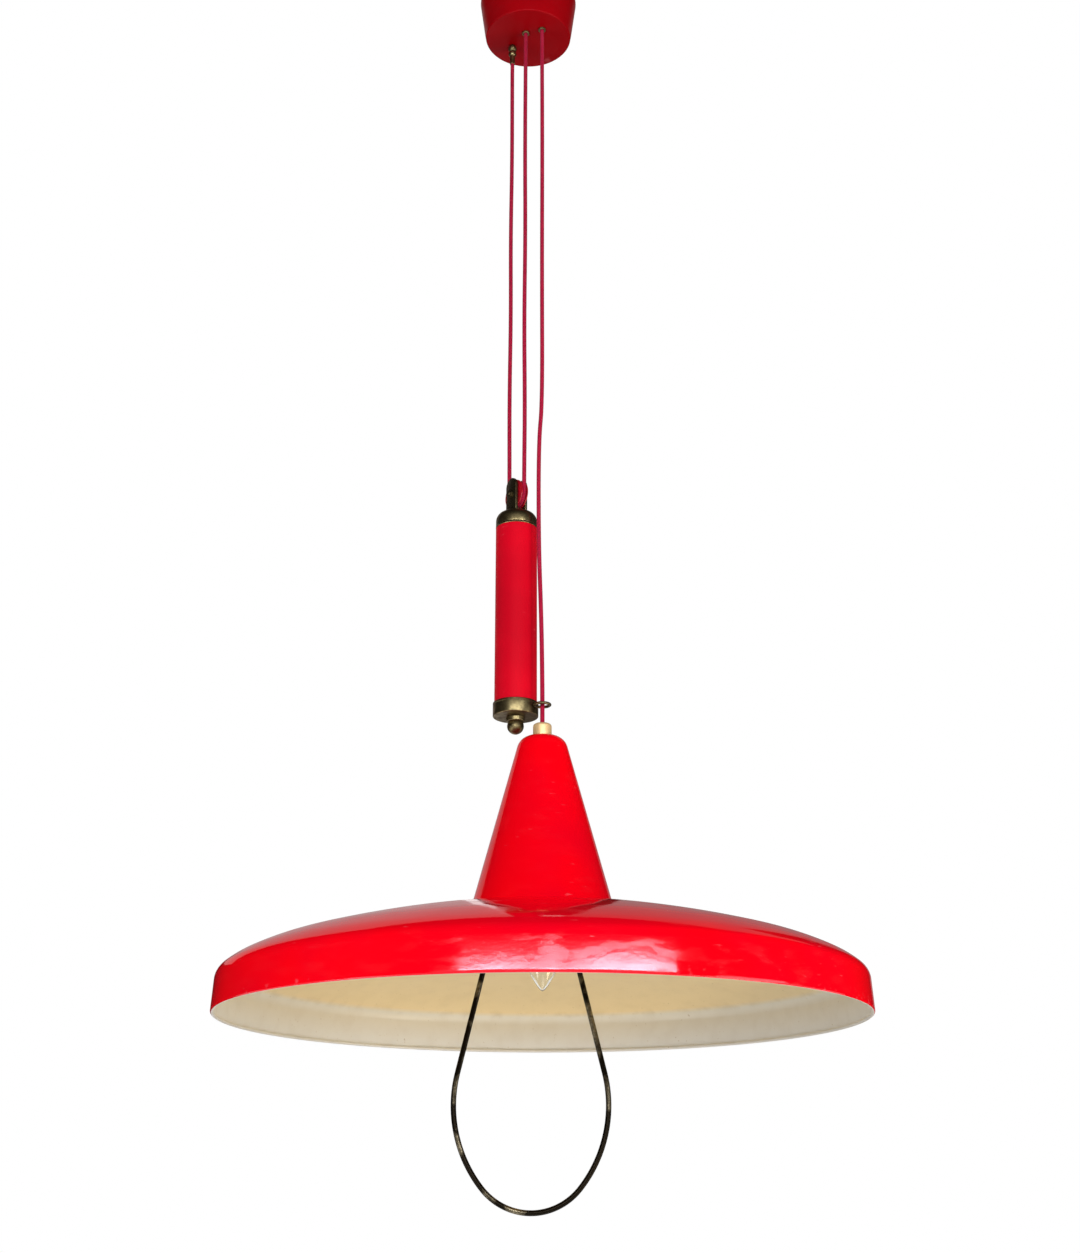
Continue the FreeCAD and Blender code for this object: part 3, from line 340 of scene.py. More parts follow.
@dataclass(frozen=True)
class CreamEnamel:
    """Cream reflector enamel inside the dish: eggshell gloss, browned by heat round the bulb,
    painted paler and cooler near the edge where light from below falls, with dust lines,
    painted shade along the fold, and greasy finger marks."""

    name: str = "cream_reflector_enamel"
    colour: str = "#d0c7b4"
    # painted light: a paler, cooler cream towards the lip stands for light from below on the wall
    lip_light: str = "#d6d4ce"
    aged: str = "#dcc393"
    # the colour of the dust, the lip line and the specks, and of the painted shade along the fold
    browned: str = "#cfb078"
    grime_and_shade: str = "#9c8155"
    centre_mm: tuple[float, float] = (16.0, -17.0)
    heat_mm: float = 230.0
    hottest_mm: float = 80.0
    rim_z_mm: float = -1164.0
    brim_mm: float = 39.0
    # half width of the painted shade band along the fold
    fold_mm: float = 4.0

    def material(self) -> bpy.types.Material:
        """Builds the lining.

        Returns:
            The finished material.
        """
        coat = Coat(self.name)
        tree = coat.tree
        place = add_node(tree, "SeparateXYZ", {0: coat.place}).outputs
        fold_z = (self.rim_z_mm + self.brim_mm) * MM
        height = add_node(tree, "Math", {0: place["Z"], 1: fold_z}, operation="SUBTRACT")
        # dust, lip line and specks, with painted shade along the fold
        dirt_and_shade = self._dirt_and_fold_shade(coat, place["Z"], height)
        tone = self._tone_with_lip_light(coat, place, height)
        body = add_node(tree, "Mix", {0: dirt_and_shade, 6: tone, 7: self.grime_and_shade}, data_type="RGBA")
        rough = coat.blotches(30, 3, (0.3, 0.7), (0.34, 0.5))
        feed(coat.shader, {"Base Color": body, "Roughness": rough})
        coat.roughen(2.6, 1, 0.012)
        return coat.material

    def _tone_with_lip_light(self, coat: Coat, place: Any, height: bpy.types.Node) -> bpy.types.Node:
        """The enamel's colour with painted light at the lip, aged on the dome, browned by the bulb.

        Args:
            coat: The material being made.
            place: The three coordinates.
            height: The height above the fold between wall and dome.

        Returns:
            The node that holds the colour.
        """
        tree = coat.tree
        squares = []
        for axis, middle in zip("XY", self.centre_mm):
            away = add_node(tree, "Math", {0: place[axis], 1: middle * MM}, operation="SUBTRACT")
            squares.append(add_node(tree, "Math", {0: away, 1: away}, operation="MULTIPLY"))
        both = add_node(tree, "Math", {0: squares[0], 1: squares[1]}, operation="ADD")
        radius = add_node(tree, "Math", {0: both}, operation="SQRT")
        outer, inner = self.heat_mm * MM, self.hottest_mm * MM
        heat = add_node(
            tree, "MapRange", {"Value": radius, "From Min": outer, "From Max": inner, "To Max": 0.9}
        )
        cloud = coat.blotches(70, 4, (0.3, 0.7), (0.55, 1.0))
        browning = add_node(tree, "Math", {0: heat, 1: cloud}, operation="MULTIPLY")
        # painted light: the lining turns towards lip_light from a third of the brim down to the lip
        middle_z, low_z = -0.3 * self.brim_mm * MM, -0.9 * self.brim_mm * MM
        lip_light_share = add_node(
            tree, "MapRange", {"Value": height, "From Min": middle_z, "From Max": low_z}
        )
        on_dome = add_node(
            tree, "MapRange", {"Value": height, "From Min": -0.002, "From Max": 0.002}
        )
        layers = ((lip_light_share, self.lip_light), (on_dome, self.aged), (browning, self.browned))
        tone: Any = self.colour
        for amount, colour in layers:
            tone = add_node(tree, "Mix", {0: amount, 6: tone, 7: colour}, data_type="RGBA")
        return tone

    def _dirt_and_fold_shade(self, coat: Coat, level: Any, height: bpy.types.Node) -> bpy.types.Node:
        """Dust and painted shade in the fold, a dark line round the lip, and specks.

        Args:
            coat: The material being made.
            level: The coordinate along the lamp's axis.
            height: The height above the fold.

        Returns:
            The node that holds the dirt and the painted shade.
        """
        tree = coat.tree
        away = add_node(tree, "Math", {0: height}, operation="ABSOLUTE")
        # painted shade: the lining darkens within fold_mm of the fold between wall and dome
        fold = add_node(
            tree, "MapRange", {"Value": away, "From Min": self.fold_mm * MM, "From Max": 0.0}
        )
        streaks = coat.blotches(16, 5, (0.45, 0.75))
        top, foot = (self.rim_z_mm + 1.6) * MM, (self.rim_z_mm + 0.4) * MM
        lip = add_node(
            tree, "MapRange", {"Value": level, "From Min": top, "From Max": foot, "To Max": 0.25}
        )
        in_fold = add_node(tree, "Math", {0: fold, 1: 0.25}, operation="MULTIPLY")
        dust_and_fold_shade = add_node(tree, "Math", {0: in_fold, 1: 0.1}, operation="ADD")
        streaked = add_node(tree, "Math", {0: dust_and_fold_shade, 1: streaks}, operation="MULTIPLY")
        dirt_and_shade = add_node(tree, "Math", {0: streaked, 1: lip}, operation="MAXIMUM")
        specks = coat.blotches(2.2, 1, (0.74, 0.78), (0.0, 0.55))
        return add_node(tree, "Math", {0: dirt_and_shade, 1: specks}, operation="MAXIMUM")


class Patina(Enum):
    """How far a brass piece has darkened: base colour, tarnish colour, roughness, tarnish and
    how much bare metal shows, since old gilt lacquer scatters like paint."""

    POLISHED = ("#ffd9a0", "#dcae70", 0.46, 0.25, 0.6)
    HANDLED = ("#8a7c58", "#463c28", 0.32, 0.75, 1.0)
    DARK = ("#6f6447", "#2f281b", 0.38, 0.75, 1.0)


@dataclass(frozen=True)
class TurnedBrass:
    """Solid brass turned on a lathe: fine tool rings round each piece, and brown tarnish that
    stays in the hollows and wears off where it is touched."""

    name: str
    patina: Patina
    ring_mm: float = 0.35
    tarnish_mm: float = 7.0
    spot_mm: float = 1.3

    def material(self) -> bpy.types.Material:
        """Builds the brass.

        Returns:
            The finished material.
        """
        clean, tarnished, roughness, amount, bare = self.patina.value
        coat = Coat(self.name)
        tree = coat.tree
        clouds = coat.blotches(self.tarnish_mm, 5, (0.38, 0.68), (0.0, amount))
        spots = coat.blotches(self.spot_mm, 2, (0.62, 0.7), (0.0, amount * 0.8))
        film = add_node(tree, "Math", {0: clouds, 1: spots}, operation="MAXIMUM")
        tone = add_node(tree, "Mix", {0: film, 6: clean, 7: tarnished}, data_type="RGBA")
        rough = add_node(
            tree, "MapRange", {"Value": film, "To Min": roughness, "To Max": roughness + 0.22}
        )
        feed(coat.shader, {"Base Color": tone, "Metallic": bare, "Roughness": rough})
        coat.roughen(self.ring_mm, 2, 0.01, 0.6, stretch=(0.02, 0.02, 1))
        return coat.material


@dataclass(frozen=True)
class DrawnBrassWire:
    """Drawn brass wire gone brown: die lines along it, bare bright streaks on the bends that
    hands pull, dark film between them."""

    name: str = "drawn_brass_wire"
    bright: str = "#a2957a"
    film: str = "#17130e"
    patch_mm: float = 26.0
    fleck_mm: float = 2.4
    die_line_mm: float = 0.5

    def material(self) -> bpy.types.Material:
        """Builds the wire's brass.

        Returns:
            The finished material.
        """
        coat = Coat(self.name)
        tree = coat.tree
        worn = coat.blotches(self.patch_mm, 4, (0.52, 0.74))
        flecks = coat.blotches(self.fleck_mm, 2, (0.45, 0.65))
        half = add_node(tree, "Math", {0: flecks, 1: 0.5}, operation="MULTIPLY")
        upper = add_node(tree, "Math", {0: half, 1: 0.5}, operation="ADD")
        shine = add_node(tree, "Math", {0: worn, 1: upper}, operation="MULTIPLY")
        tone = add_node(tree, "Mix", {0: shine, 6: self.film, 7: self.bright}, data_type="RGBA")
        rough = add_node(tree, "MapRange", {"Value": shine, "To Min": 0.36, "To Max": 0.24})
        feed(coat.shader, {"Base Color": tone, "Metallic": 1.0, "Roughness": rough})
        coat.roughen(self.die_line_mm, 2, 0.02, 0.5, (12, 0.03, 1), coat.thread)
        return coat.material


@dataclass(frozen=True)
class ZincSteel:
    """Mild steel with bright zinc plating: cool grey, spangled, with a little white bloom."""

    name: str = "zinc_plated_steel"
    colour: str = "#b9bcbc"
    bloom: str = "#8b8d8a"
    spangle_mm: float = 3.5

    def material(self) -> bpy.types.Material:
        """Builds the plated steel.

        Returns:
            The finished material.
        """
        coat = Coat(self.name)
        tree = coat.tree
        spangle = coat.blotches(self.spangle_mm, 4, (0.35, 0.7))
        tone = add_node(tree, "Mix", {0: spangle, 6: self.colour, 7: self.bloom}, data_type="RGBA")
        rough = add_node(tree, "MapRange", {"Value": spangle, "To Min": 0.28, "To Max": 0.48})
        feed(coat.shader, {"Base Color": tone, "Metallic": 1.0, "Roughness": rough})
        coat.roughen(0.6, 2, 0.01, 0.5)
        return coat.material


@dataclass(frozen=True)
class BraidedFlex:
    """Cotton braid over round flex: crossing crimson strands that catch light on their crowns,
    with painted shade that makes them nearly black-red between, and loose fibre flecks.
    Real strands are 0.4 mm; they are drawn about twice as coarse so that the braid shows at
    arm's length."""

    name: str = "crimson_cotton_braid"
    colour: str = "#c4083a"
    # painted shade between the strands
    hollow_shade: str = "#5a0420"
    fleck: str = "#cc3054"
    strands: int = 7
    lay_mm: float = 6.0
    fibre_mm: float = 0.7
    strand_mm: float = 0.22

    def material(self) -> bpy.types.Material:
        """Builds the braid from the tube's own round-and-along coordinates.

        Returns:
            The finished material.
        """
        coat = Coat(self.name)
        tree = coat.tree
        thread = add_node(tree, "SeparateXYZ", {0: coat.thread}).outputs
        turn = 2 * math.pi * self.strands
        pitch = turn / (self.lay_mm * MM)
        around = add_node(tree, "Math", {0: thread["X"], 1: turn}, operation="MULTIPLY")
        along = add_node(tree, "Math", {0: thread["Y"], 1: pitch}, operation="MULTIPLY")
        strands = []
        for lay in ("ADD", "SUBTRACT"):
            slant = add_node(tree, "Math", {0: around, 1: along}, operation=lay)
            strands.append(add_node(tree, "Math", {0: slant}, operation="SINE"))
        top = add_node(tree, "Math", {0: strands[0], 1: strands[1]}, operation="MAXIMUM")
        crowns = add_node(tree, "MapRange", {"Value": top, "From Min": -0.4})
        # painted shade: hollows between strands go towards hollow_shade, crowns keep the full
        # colour
        tone = add_node(tree, "Mix", {0: crowns, 6: self.hollow_shade, 7: self.colour}, data_type="RGBA")
        wear = coat.blotches(14, 3, (0.35, 0.7), (0.0, 0.35))
        fibres = coat.blotches(self.fibre_mm, 2, (0.6, 0.72), (0.0, 0.6))
        loose = add_node(tree, "Math", {0: fibres, 1: wear}, operation="MAXIMUM")
        lifted = add_node(tree, "Math", {0: crowns, 1: loose}, operation="MULTIPLY")
        body = add_node(tree, "Mix", {0: lifted, 6: tone, 7: self.fleck}, data_type="RGBA")
        feed(coat.shader, {"Base Color": body, "Roughness": 0.85, "Specular IOR Level": 0.2})
        feed(coat.shader, {"Sheen Weight": 0.03, "Sheen Roughness": 0.4})
        coat.raise_by(crowns, self.strand_mm)
        return coat.material


@dataclass(frozen=True)
class MouldedResin:
    """Compression-moulded resin, phenolic or urea: hard, slightly mottled, soft gloss from the
    polished tool."""

    name: str
    colour: str
    mottle: str
    roughness: float = 0.3
    mottle_mm: float = 5.0

    def material(self) -> bpy.types.Material:
        """Builds the resin.

        Returns:
            The finished material.
        """
        coat = Coat(self.name)
        clouds = coat.blotches(self.mottle_mm, 4, (0.35, 0.7))
        tone = add_node(
            coat.tree, "Mix", {0: clouds, 6: self.colour, 7: self.mottle}, data_type="RGBA"
        )
        rough = coat.blotches(8, 3, (0.3, 0.7), (self.roughness, self.roughness + 0.12))
        feed(coat.shader, {"Base Color": tone, "Roughness": rough})
        coat.roughen(1.0, 1, 0.006)
        return coat.material


@dataclass(frozen=True)
class CastLead:
    """Cast lead: dull blue-grey with a skin of oxide and pits from the mould."""

    name: str = "cast_lead"
    colour: str = "#5b5f66"
    oxide: str = "#80838a"
    skin_mm: float = 6.0

    def material(self) -> bpy.types.Material:
        """Builds the casting.

        Returns:
            The finished material.
        """
        coat = Coat(self.name)
        skin = coat.blotches(self.skin_mm, 5, (0.35, 0.7))
        tone = add_node(
            coat.tree, "Mix", {0: skin, 6: self.colour, 7: self.oxide}, data_type="RGBA"
        )
        feed(coat.shader, {"Base Color": tone, "Metallic": 1.0, "Roughness": 0.6})
        coat.roughen(1.5, 4, 0.15)
        return coat.material


@dataclass(frozen=True)
class LampGlass:
    """Blown soda glass, clear, with a trace of waviness from the blowing."""

    name: str = "blown_clear_glass"
    tint: str = "#fbfcf8"
    wave_mm: float = 9.0

    def material(self) -> bpy.types.Material:
        """Builds the glass.

        Returns:
            The finished material.
        """
        coat = Coat(self.name)
        feed(coat.shader, {"Base Color": self.tint, "Roughness": 0.02})
        feed(coat.shader, {"Transmission Weight": 1.0, "IOR": 1.5})
        coat.roughen(self.wave_mm, 1, 0.05, 0.4)
        return coat.material


ENAMEL_SHADE = StoveEnamel(
    "red_stove_enamel_shade", "#ee0010", "#de0018", "#e2606c", edge_z_mm=-1164.0
)
ENAMEL_FITTINGS = StoveEnamel(
    "red_stove_enamel_fittings", "#cd021c", "#b80219", "#e0717d", roughness=0.4, gleam=0.08
)
# painted shade: the canopy's enamel is a darker copy of the dish's red, standing for the shade
# under the ceiling
ENAMEL_CANOPY_SHADED = StoveEnamel(
    "red_stove_enamel_canopy_shaded", "#9c0008", "#880007", "#c05a62", roughness=0.3, gleam=0.1
)
ENAMEL_SHEAVE = StoveEnamel(
    "crimson_sheave_enamel",
    "#b5081f",
    "#8e0618",
    "#c9606c",
    roughness=0.3,
    blotch_mm=9.0,
    peel_mm=1.5,
)
BRASS_HANDLED = TurnedBrass("handled_turned_brass", Patina.HANDLED)
BRASS_DARK = TurnedBrass("dark_turned_brass", Patina.DARK)
BRASS_POLISHED = TurnedBrass("polished_turned_brass", Patina.POLISHED)
RESIN_BLACK = MouldedResin("black_moulded_phenolic", "#16120f", "#2a211b")
RESIN_IVORY = MouldedResin("ivory_moulded_urea", "#e4dfd0", "#d6cfbb")


@dataclass
class Finishes:
    """Every finish on the pendant, made once."""

    dish: bpy.types.Material = field(default_factory=ENAMEL_SHADE.material)
    gloss: bpy.types.Material = field(default_factory=ENAMEL_FITTINGS.material)
    # canopy enamel painted darker to stand for shade
    canopy: bpy.types.Material = field(default_factory=ENAMEL_CANOPY_SHADED.material)
    wheel: bpy.types.Material = field(default_factory=ENAMEL_SHEAVE.material)
    cream: bpy.types.Material = field(default_factory=CreamEnamel().material)
    handled: bpy.types.Material = field(default_factory=BRASS_HANDLED.material)
    dark: bpy.types.Material = field(default_factory=BRASS_DARK.material)
    polished: bpy.types.Material = field(default_factory=BRASS_POLISHED.material)
    wire: bpy.types.Material = field(default_factory=DrawnBrassWire().material)
    steel: bpy.types.Material = field(default_factory=ZincSteel().material)
    braid: bpy.types.Material = field(default_factory=BraidedFlex().material)
    black: bpy.types.Material = field(default_factory=RESIN_BLACK.material)
    white: bpy.types.Material = field(default_factory=RESIN_IVORY.material)
    lead: bpy.types.Material = field(default_factory=CastLead().material)
    glass: bpy.types.Material = field(default_factory=LampGlass().material)


# ---- mesh making -----------------------------------------------------------------------


def bend(start: float, end: float, centre: Point, radius: float, steps: int) -> list[Point]:
    """Points along a circle arc, its start left out.

    Args:
        start: Angle of the first end, in degrees.
        end: Angle of the second end.
        centre: The circle's centre.
        radius: Its radius.
        steps: How many points to give.

    Returns:
        Points from just after start up to end.
    """
    turns = [math.radians(start + (end - start) * i / steps) for i in range(1, steps + 1)]
    return [(centre[0] + radius * math.cos(t), centre[1] + radius * math.sin(t)) for t in turns]


@dataclass
class Turning:
    """A turned form: profile points in millimetres, spun about an axle."""

    name: str
    outline: Outline
    base: Vector
    steps: int = 96
    axle: Matrix = field(default_factory=lambda: Matrix.Identity(3))
    closed: bool = False
    second_from: int | None = None
    crease_deg: float = 32.0

    def build(self, *materials: bpy.types.Material) -> bpy.types.Object:
        """Spins the profile.

        Args:
            *materials: The finish, and a second one for the profile from second_from on.

        Returns:
            The piece.
        """
        mesh = bpy.data.meshes.new(self.name)
        form = bmesh.new()
        sheet = form.loops.layers.uv.new("wrap")
        reach = [0.0]
        for before, after in zip(self.outline, self.outline[1:]):
            reach.append(reach[-1] + math.dist(before, after) * MM)
        rings: list[list[bmesh.types.BMVert]] = []
        for radius, height in self.outline:
            if radius < ON_AXIS:
                rings.append([form.verts.new(self._spot(0.0, height, 0.0))] * self.steps)
                continue
            turns = [i / self.steps for i in range(self.steps)]
            rings.append([form.verts.new(self._spot(radius, height, turn)) for turn in turns])
        for lower in range(len(rings) if self.closed else len(rings) - 1):
            upper = (lower + 1) % len(rings)
            for i in range(self.steps):
                following = (i + 1) % self.steps
                corners = [
                    (rings[lower][i], i, lower),
                    (rings[lower][following], i + 1, lower),
                    (rings[upper][following], i + 1, upper),
                    (rings[upper][i], i, upper),
                ]
                unique: list[tuple[bmesh.types.BMVert, int, int]] = []
                for corner in corners:
                    if all(corner[0] is not other[0] for other in unique):
                        unique.append(corner)
                if len(unique) < 3:
                    continue
                face = form.faces.new([corner[0] for corner in unique])
                face.smooth = True
                lined = self.second_from is not None and lower >= self.second_from
                face.material_index = int(lined)
                for loop, corner in zip(face.loops, unique):
                    loop[sheet].uv = (corner[1] / self.steps, reach[corner[2]])
        bmesh.ops.recalc_face_normals(form, faces=form.faces)
        form.to_mesh(mesh)
        form.free()
        mesh.set_sharp_from_angle(angle=math.radians(self.crease_deg))
        return finished(mesh, *materials)

    def _spot(self, radius: float, height: float, turn: float) -> Vector:
        """The point at a radius and height, a share of a turn round the axle, in metres.

        Args:
            radius: The distance from the axle, in millimetres.
            height: The distance along the axle from the base.
            turn: The share of a full turn.

        Returns:
            The point.
        """
        angle = 2 * math.pi * turn
        local = Vector((radius * math.cos(angle), radius * math.sin(angle), height))
        return (self.base + self.axle @ local) * MM


def finished(mesh: bpy.types.Mesh, *materials: bpy.types.Material) -> bpy.types.Object:
    """Puts a mesh in the scene with its finishes.

    Args:
        mesh: The mesh.
        *materials: Its finishes, in slot order.

    Returns:
        The new object.
    """
    piece = bpy.data.objects.new(mesh.name, mesh)
    bpy.context.scene.collection.objects.link(piece)
    for material in materials:
        mesh.materials.append(material)
    return piece


@dataclass
class Tubing:
    """A round tube that follows a line of points in metres."""

    name: str
    line: Sequence[Vector]
    radius: float
    sides: int = 16
    closed: bool = False

    def build(self, material: bpy.types.Material) -> bpy.types.Object:
        """Sweeps the tube.

        Args:
            material: Its finish.

        Returns:
            The piece, its coordinates round and along it in metres.
        """
        mesh = bpy.data.meshes.new(self.name)
        form = bmesh.new()
        sheet = form.loops.layers.uv.new("wrap")
        stations = self._stations()
        rings = []
        for spot, side, normal, _ in stations:
            ring = []
            for k in range(self.sides):
                angle = 2 * math.pi * k / self.sides
                out = side * math.cos(angle) + normal * math.sin(angle)
                ring.append(form.verts.new(spot + out * self.radius))
            rings.append(ring)
        count = len(rings)
        for i in range(count if self.closed else count - 1):
            following = (i + 1) % count
            near, far = rings[i], rings[following]
            low = stations[i][3]
            high = low + (stations[following][0] - stations[i][0]).length
            for k in range(self.sides):
                beside = (k + 1) % self.sides
                face = form.faces.new((near[k], near[beside], far[beside], far[k]))
                face.smooth = True
                places = ((k, low), (k + 1, low), (k + 1, high), (k, high))
                for loop, (turn, reach) in zip(face.loops, places):
                    loop[sheet].uv = (turn / self.sides, reach)
        if not self.closed:
            form.faces.new(list(reversed(rings[0])))
            form.faces.new(rings[-1])
        bmesh.ops.recalc_face_normals(form, faces=form.faces)
        form.to_mesh(mesh)
        form.free()
        return finished(mesh, material)

    def _stations(self) -> list[tuple[Vector, Vector, Vector, float]]:
        """Each ring's centre, two directions across and reach along the line.

        Returns:
            One row for each point of the line.
        """
        spots = list(self.line)
        count = len(spots)
        headings = []
        for i in range(count):
            before = spots[i - 1] if i or self.closed else spots[0]
            after = spots[(i + 1) % count] if i < count - 1 or self.closed else spots[-1]
            headings.append((after - before).normalized())
        side = headings[0].orthogonal().normalized()
        reach = 0.0
        stations = []
        for i, (spot, heading) in enumerate(zip(spots, headings)):
            side = (side - heading * side.dot(heading)).normalized()
            if i:
                reach += (spot - spots[i - 1]).length
            stations.append((spot, side.copy(), heading.cross(side), reach))
        return stations


@dataclass
class Plate:
    """A flat sheet cut to an outline, its edges broken by a small bevel."""

    name: str
    outline: Outline
    thickness: float
    origin: Vector
    turn: Matrix
    bevel: float = 0.4
    corner_deg: float = 40.0
    crease_deg: float = 30.0

    def build(self, material: bpy.types.Material) -> bpy.types.Object:
        """Cuts the sheet.

        Args:
            material: Its finish.

        Returns:
            The plate, centred on its own plane, thickness along the turn's third axis.
        """
        mesh = bpy.data.meshes.new(self.name)
        form = bmesh.new()
        layers = []
        for offset in (-self.thickness / 2, self.thickness / 2):
            spots = [self.origin + self.turn @ Vector((x, y, offset)) for x, y in self.outline]
            layers.append([form.verts.new(spot * MM) for spot in spots])
        near, far = layers
        form.faces.new(list(reversed(near)))
        form.faces.new(far)
        count = len(self.outline)
        for i in range(count):
            following = (i + 1) % count
            form.faces.new((near[i], near[following], far[following], far[i]))
        bmesh.ops.recalc_face_normals(form, faces=form.faces)
        corner = math.radians(self.corner_deg)
        sharp = [edge for edge in form.edges if edge.calc_face_angle(0.0) > corner]
        width = self.bevel * MM
        bmesh.ops.bevel(form, geom=sharp, offset=width, segments=2, affect="EDGES", profile=0.5)
        for face in form.faces:
            face.smooth = True
        form.to_mesh(mesh)
        form.free()
        mesh.set_sharp_from_angle(angle=math.radians(self.crease_deg))
        return finished(mesh, material)


def joined(name: str, pieces: Sequence[bpy.types.Object]) -> bpy.types.Object:
    """Joins pieces that are brazed or pressed into one.

    Args:
        name: The name of the result.
        pieces: The meshes, which are used up.

    Returns:
        The first piece, now holding them all.
    """
    chosen = {"active_object": pieces[0], "selected_editable_objects": list(pieces)}
    with bpy.context.temp_override(**chosen):
        bpy.ops.object.join()
    pieces[0].name = name
    pieces[0].data.name = name
    return pieces[0]


def settle(piece: bpy.types.Object, body: str, slot: str, *nodes: str) -> bpy.types.Object:
    """Hands a piece to the body that carries it.

    Args:
        piece: The piece.
        body: The moving body.
        slot: The record's material slot; not used.
        *nodes: The solids that it stands for.

    Returns:
        The same piece.
    """
    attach(piece, body)
    if nodes:
        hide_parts(*nodes)
    log.info("%s rides on %s", piece.name, body)
    return piece


# The solids by name; main fills it in once the frame is loaded.
frame_nodes: dict[str, bpy.types.Object] = {}


def dress(node: str, material: bpy.types.Material) -> None:
    """Gives a carried-over solid its finish.

    Args:
        node: The solid's name.
        material: The finish.
    """
    solid = frame_nodes[node]
    if not solid.material_slots:
        solid.data.materials.append(material)
    for slot in solid.material_slots:
        slot.link = "OBJECT"
        slot.material = material
    log.info("%s keeps its solid", node)


def axle_turn(across: Vector, up: Vector) -> Matrix:
    """Columns across, up and the axle square to both."""
    return Matrix((across, up, across.cross(up))).transposed()


def rounded_line(corners: Sequence[Vector], radii: Sequence[float], step: float) -> list[Vector]:
    """The centre line of a bent wire: straight runs with an arc at each corner.

    Args:
        corners: The points that the runs meet at, ends included, in millimetres.
        radii: The bend radius at each inner corner.
        step: The longest piece of the line, in millimetres.

    Returns:
        The line's points.
    """
    line = [corners[0]]

    def run_to(target: Vector) -> None:
        """Adds a straight run in even steps.

        Args:
            target: Where the run ends.
        """
        start = line[-1]
        count = max(1, math.ceil((target - start).length / step))
        line.extend(start.lerp(target, i / count) for i in range(1, count + 1))

    for earlier, corner, later, radius in zip(corners, corners[1:], corners[2:], radii):
        before = (earlier - corner).normalized()
        after = (later - corner).normalized()
        half = (math.pi - before.angle(after)) / 2
        inward = (before + after).normalized()
        centre = corner + inward * (radius / math.cos(half))
        run_to(corner + before * (radius * math.tan(half)))
        first = line[-1] - centre
        last = corner + after * (radius * math.tan(half)) - centre
        count = max(4, math.ceil(2 * half * radius / step))
        axis, sweep = first.rotation_difference(last).to_axis_angle()
        turns = [Matrix.Rotation(sweep * i / count, 3, axis) for i in range(1, count + 1)]
        line.extend(centre + turn @ first for turn in turns)
    run_to(corners[-1])
    return line


# ---- places shared by the pieces ---------------------------------------------------------

# In millimetres: the middle of the dish's rim, the foot of the counterweight, both axles with
# the way across each sheave, the sheaves' pitch radii, where the still and the returning fall
# leave the canopy, and the size of a screwdriver slot.
LAMP = Vector((16.0, -17.0, -1164.0))
WEIGHT = Vector((-10.5, 0.5, -869.0))
WEIGHT_AXLE = Vector((-10.5, 0.5, -628.6))
WEIGHT_ACROSS = Vector((0.5591929, -0.8290376, 0.0))
CEILING_AXLE = Vector((6.664, -14.053, -24.0))
CEILING_ACROSS = Vector((0.9536226, -0.3010048, 0.0))
CEILING_PITCH = 9.79
WEIGHT_PITCH = 14.0
STILL = Vector((-18.329, 12.107, -49.0))
RETURN = Vector((-2.671, -11.107, -49.0))
UP = Vector((0.0, 0.0, 1.0))
SLOT_WIDTH = 0.9
SLOT_DEPTH = 0.9


# ---- the cord ----------------------------------------------------------------------------


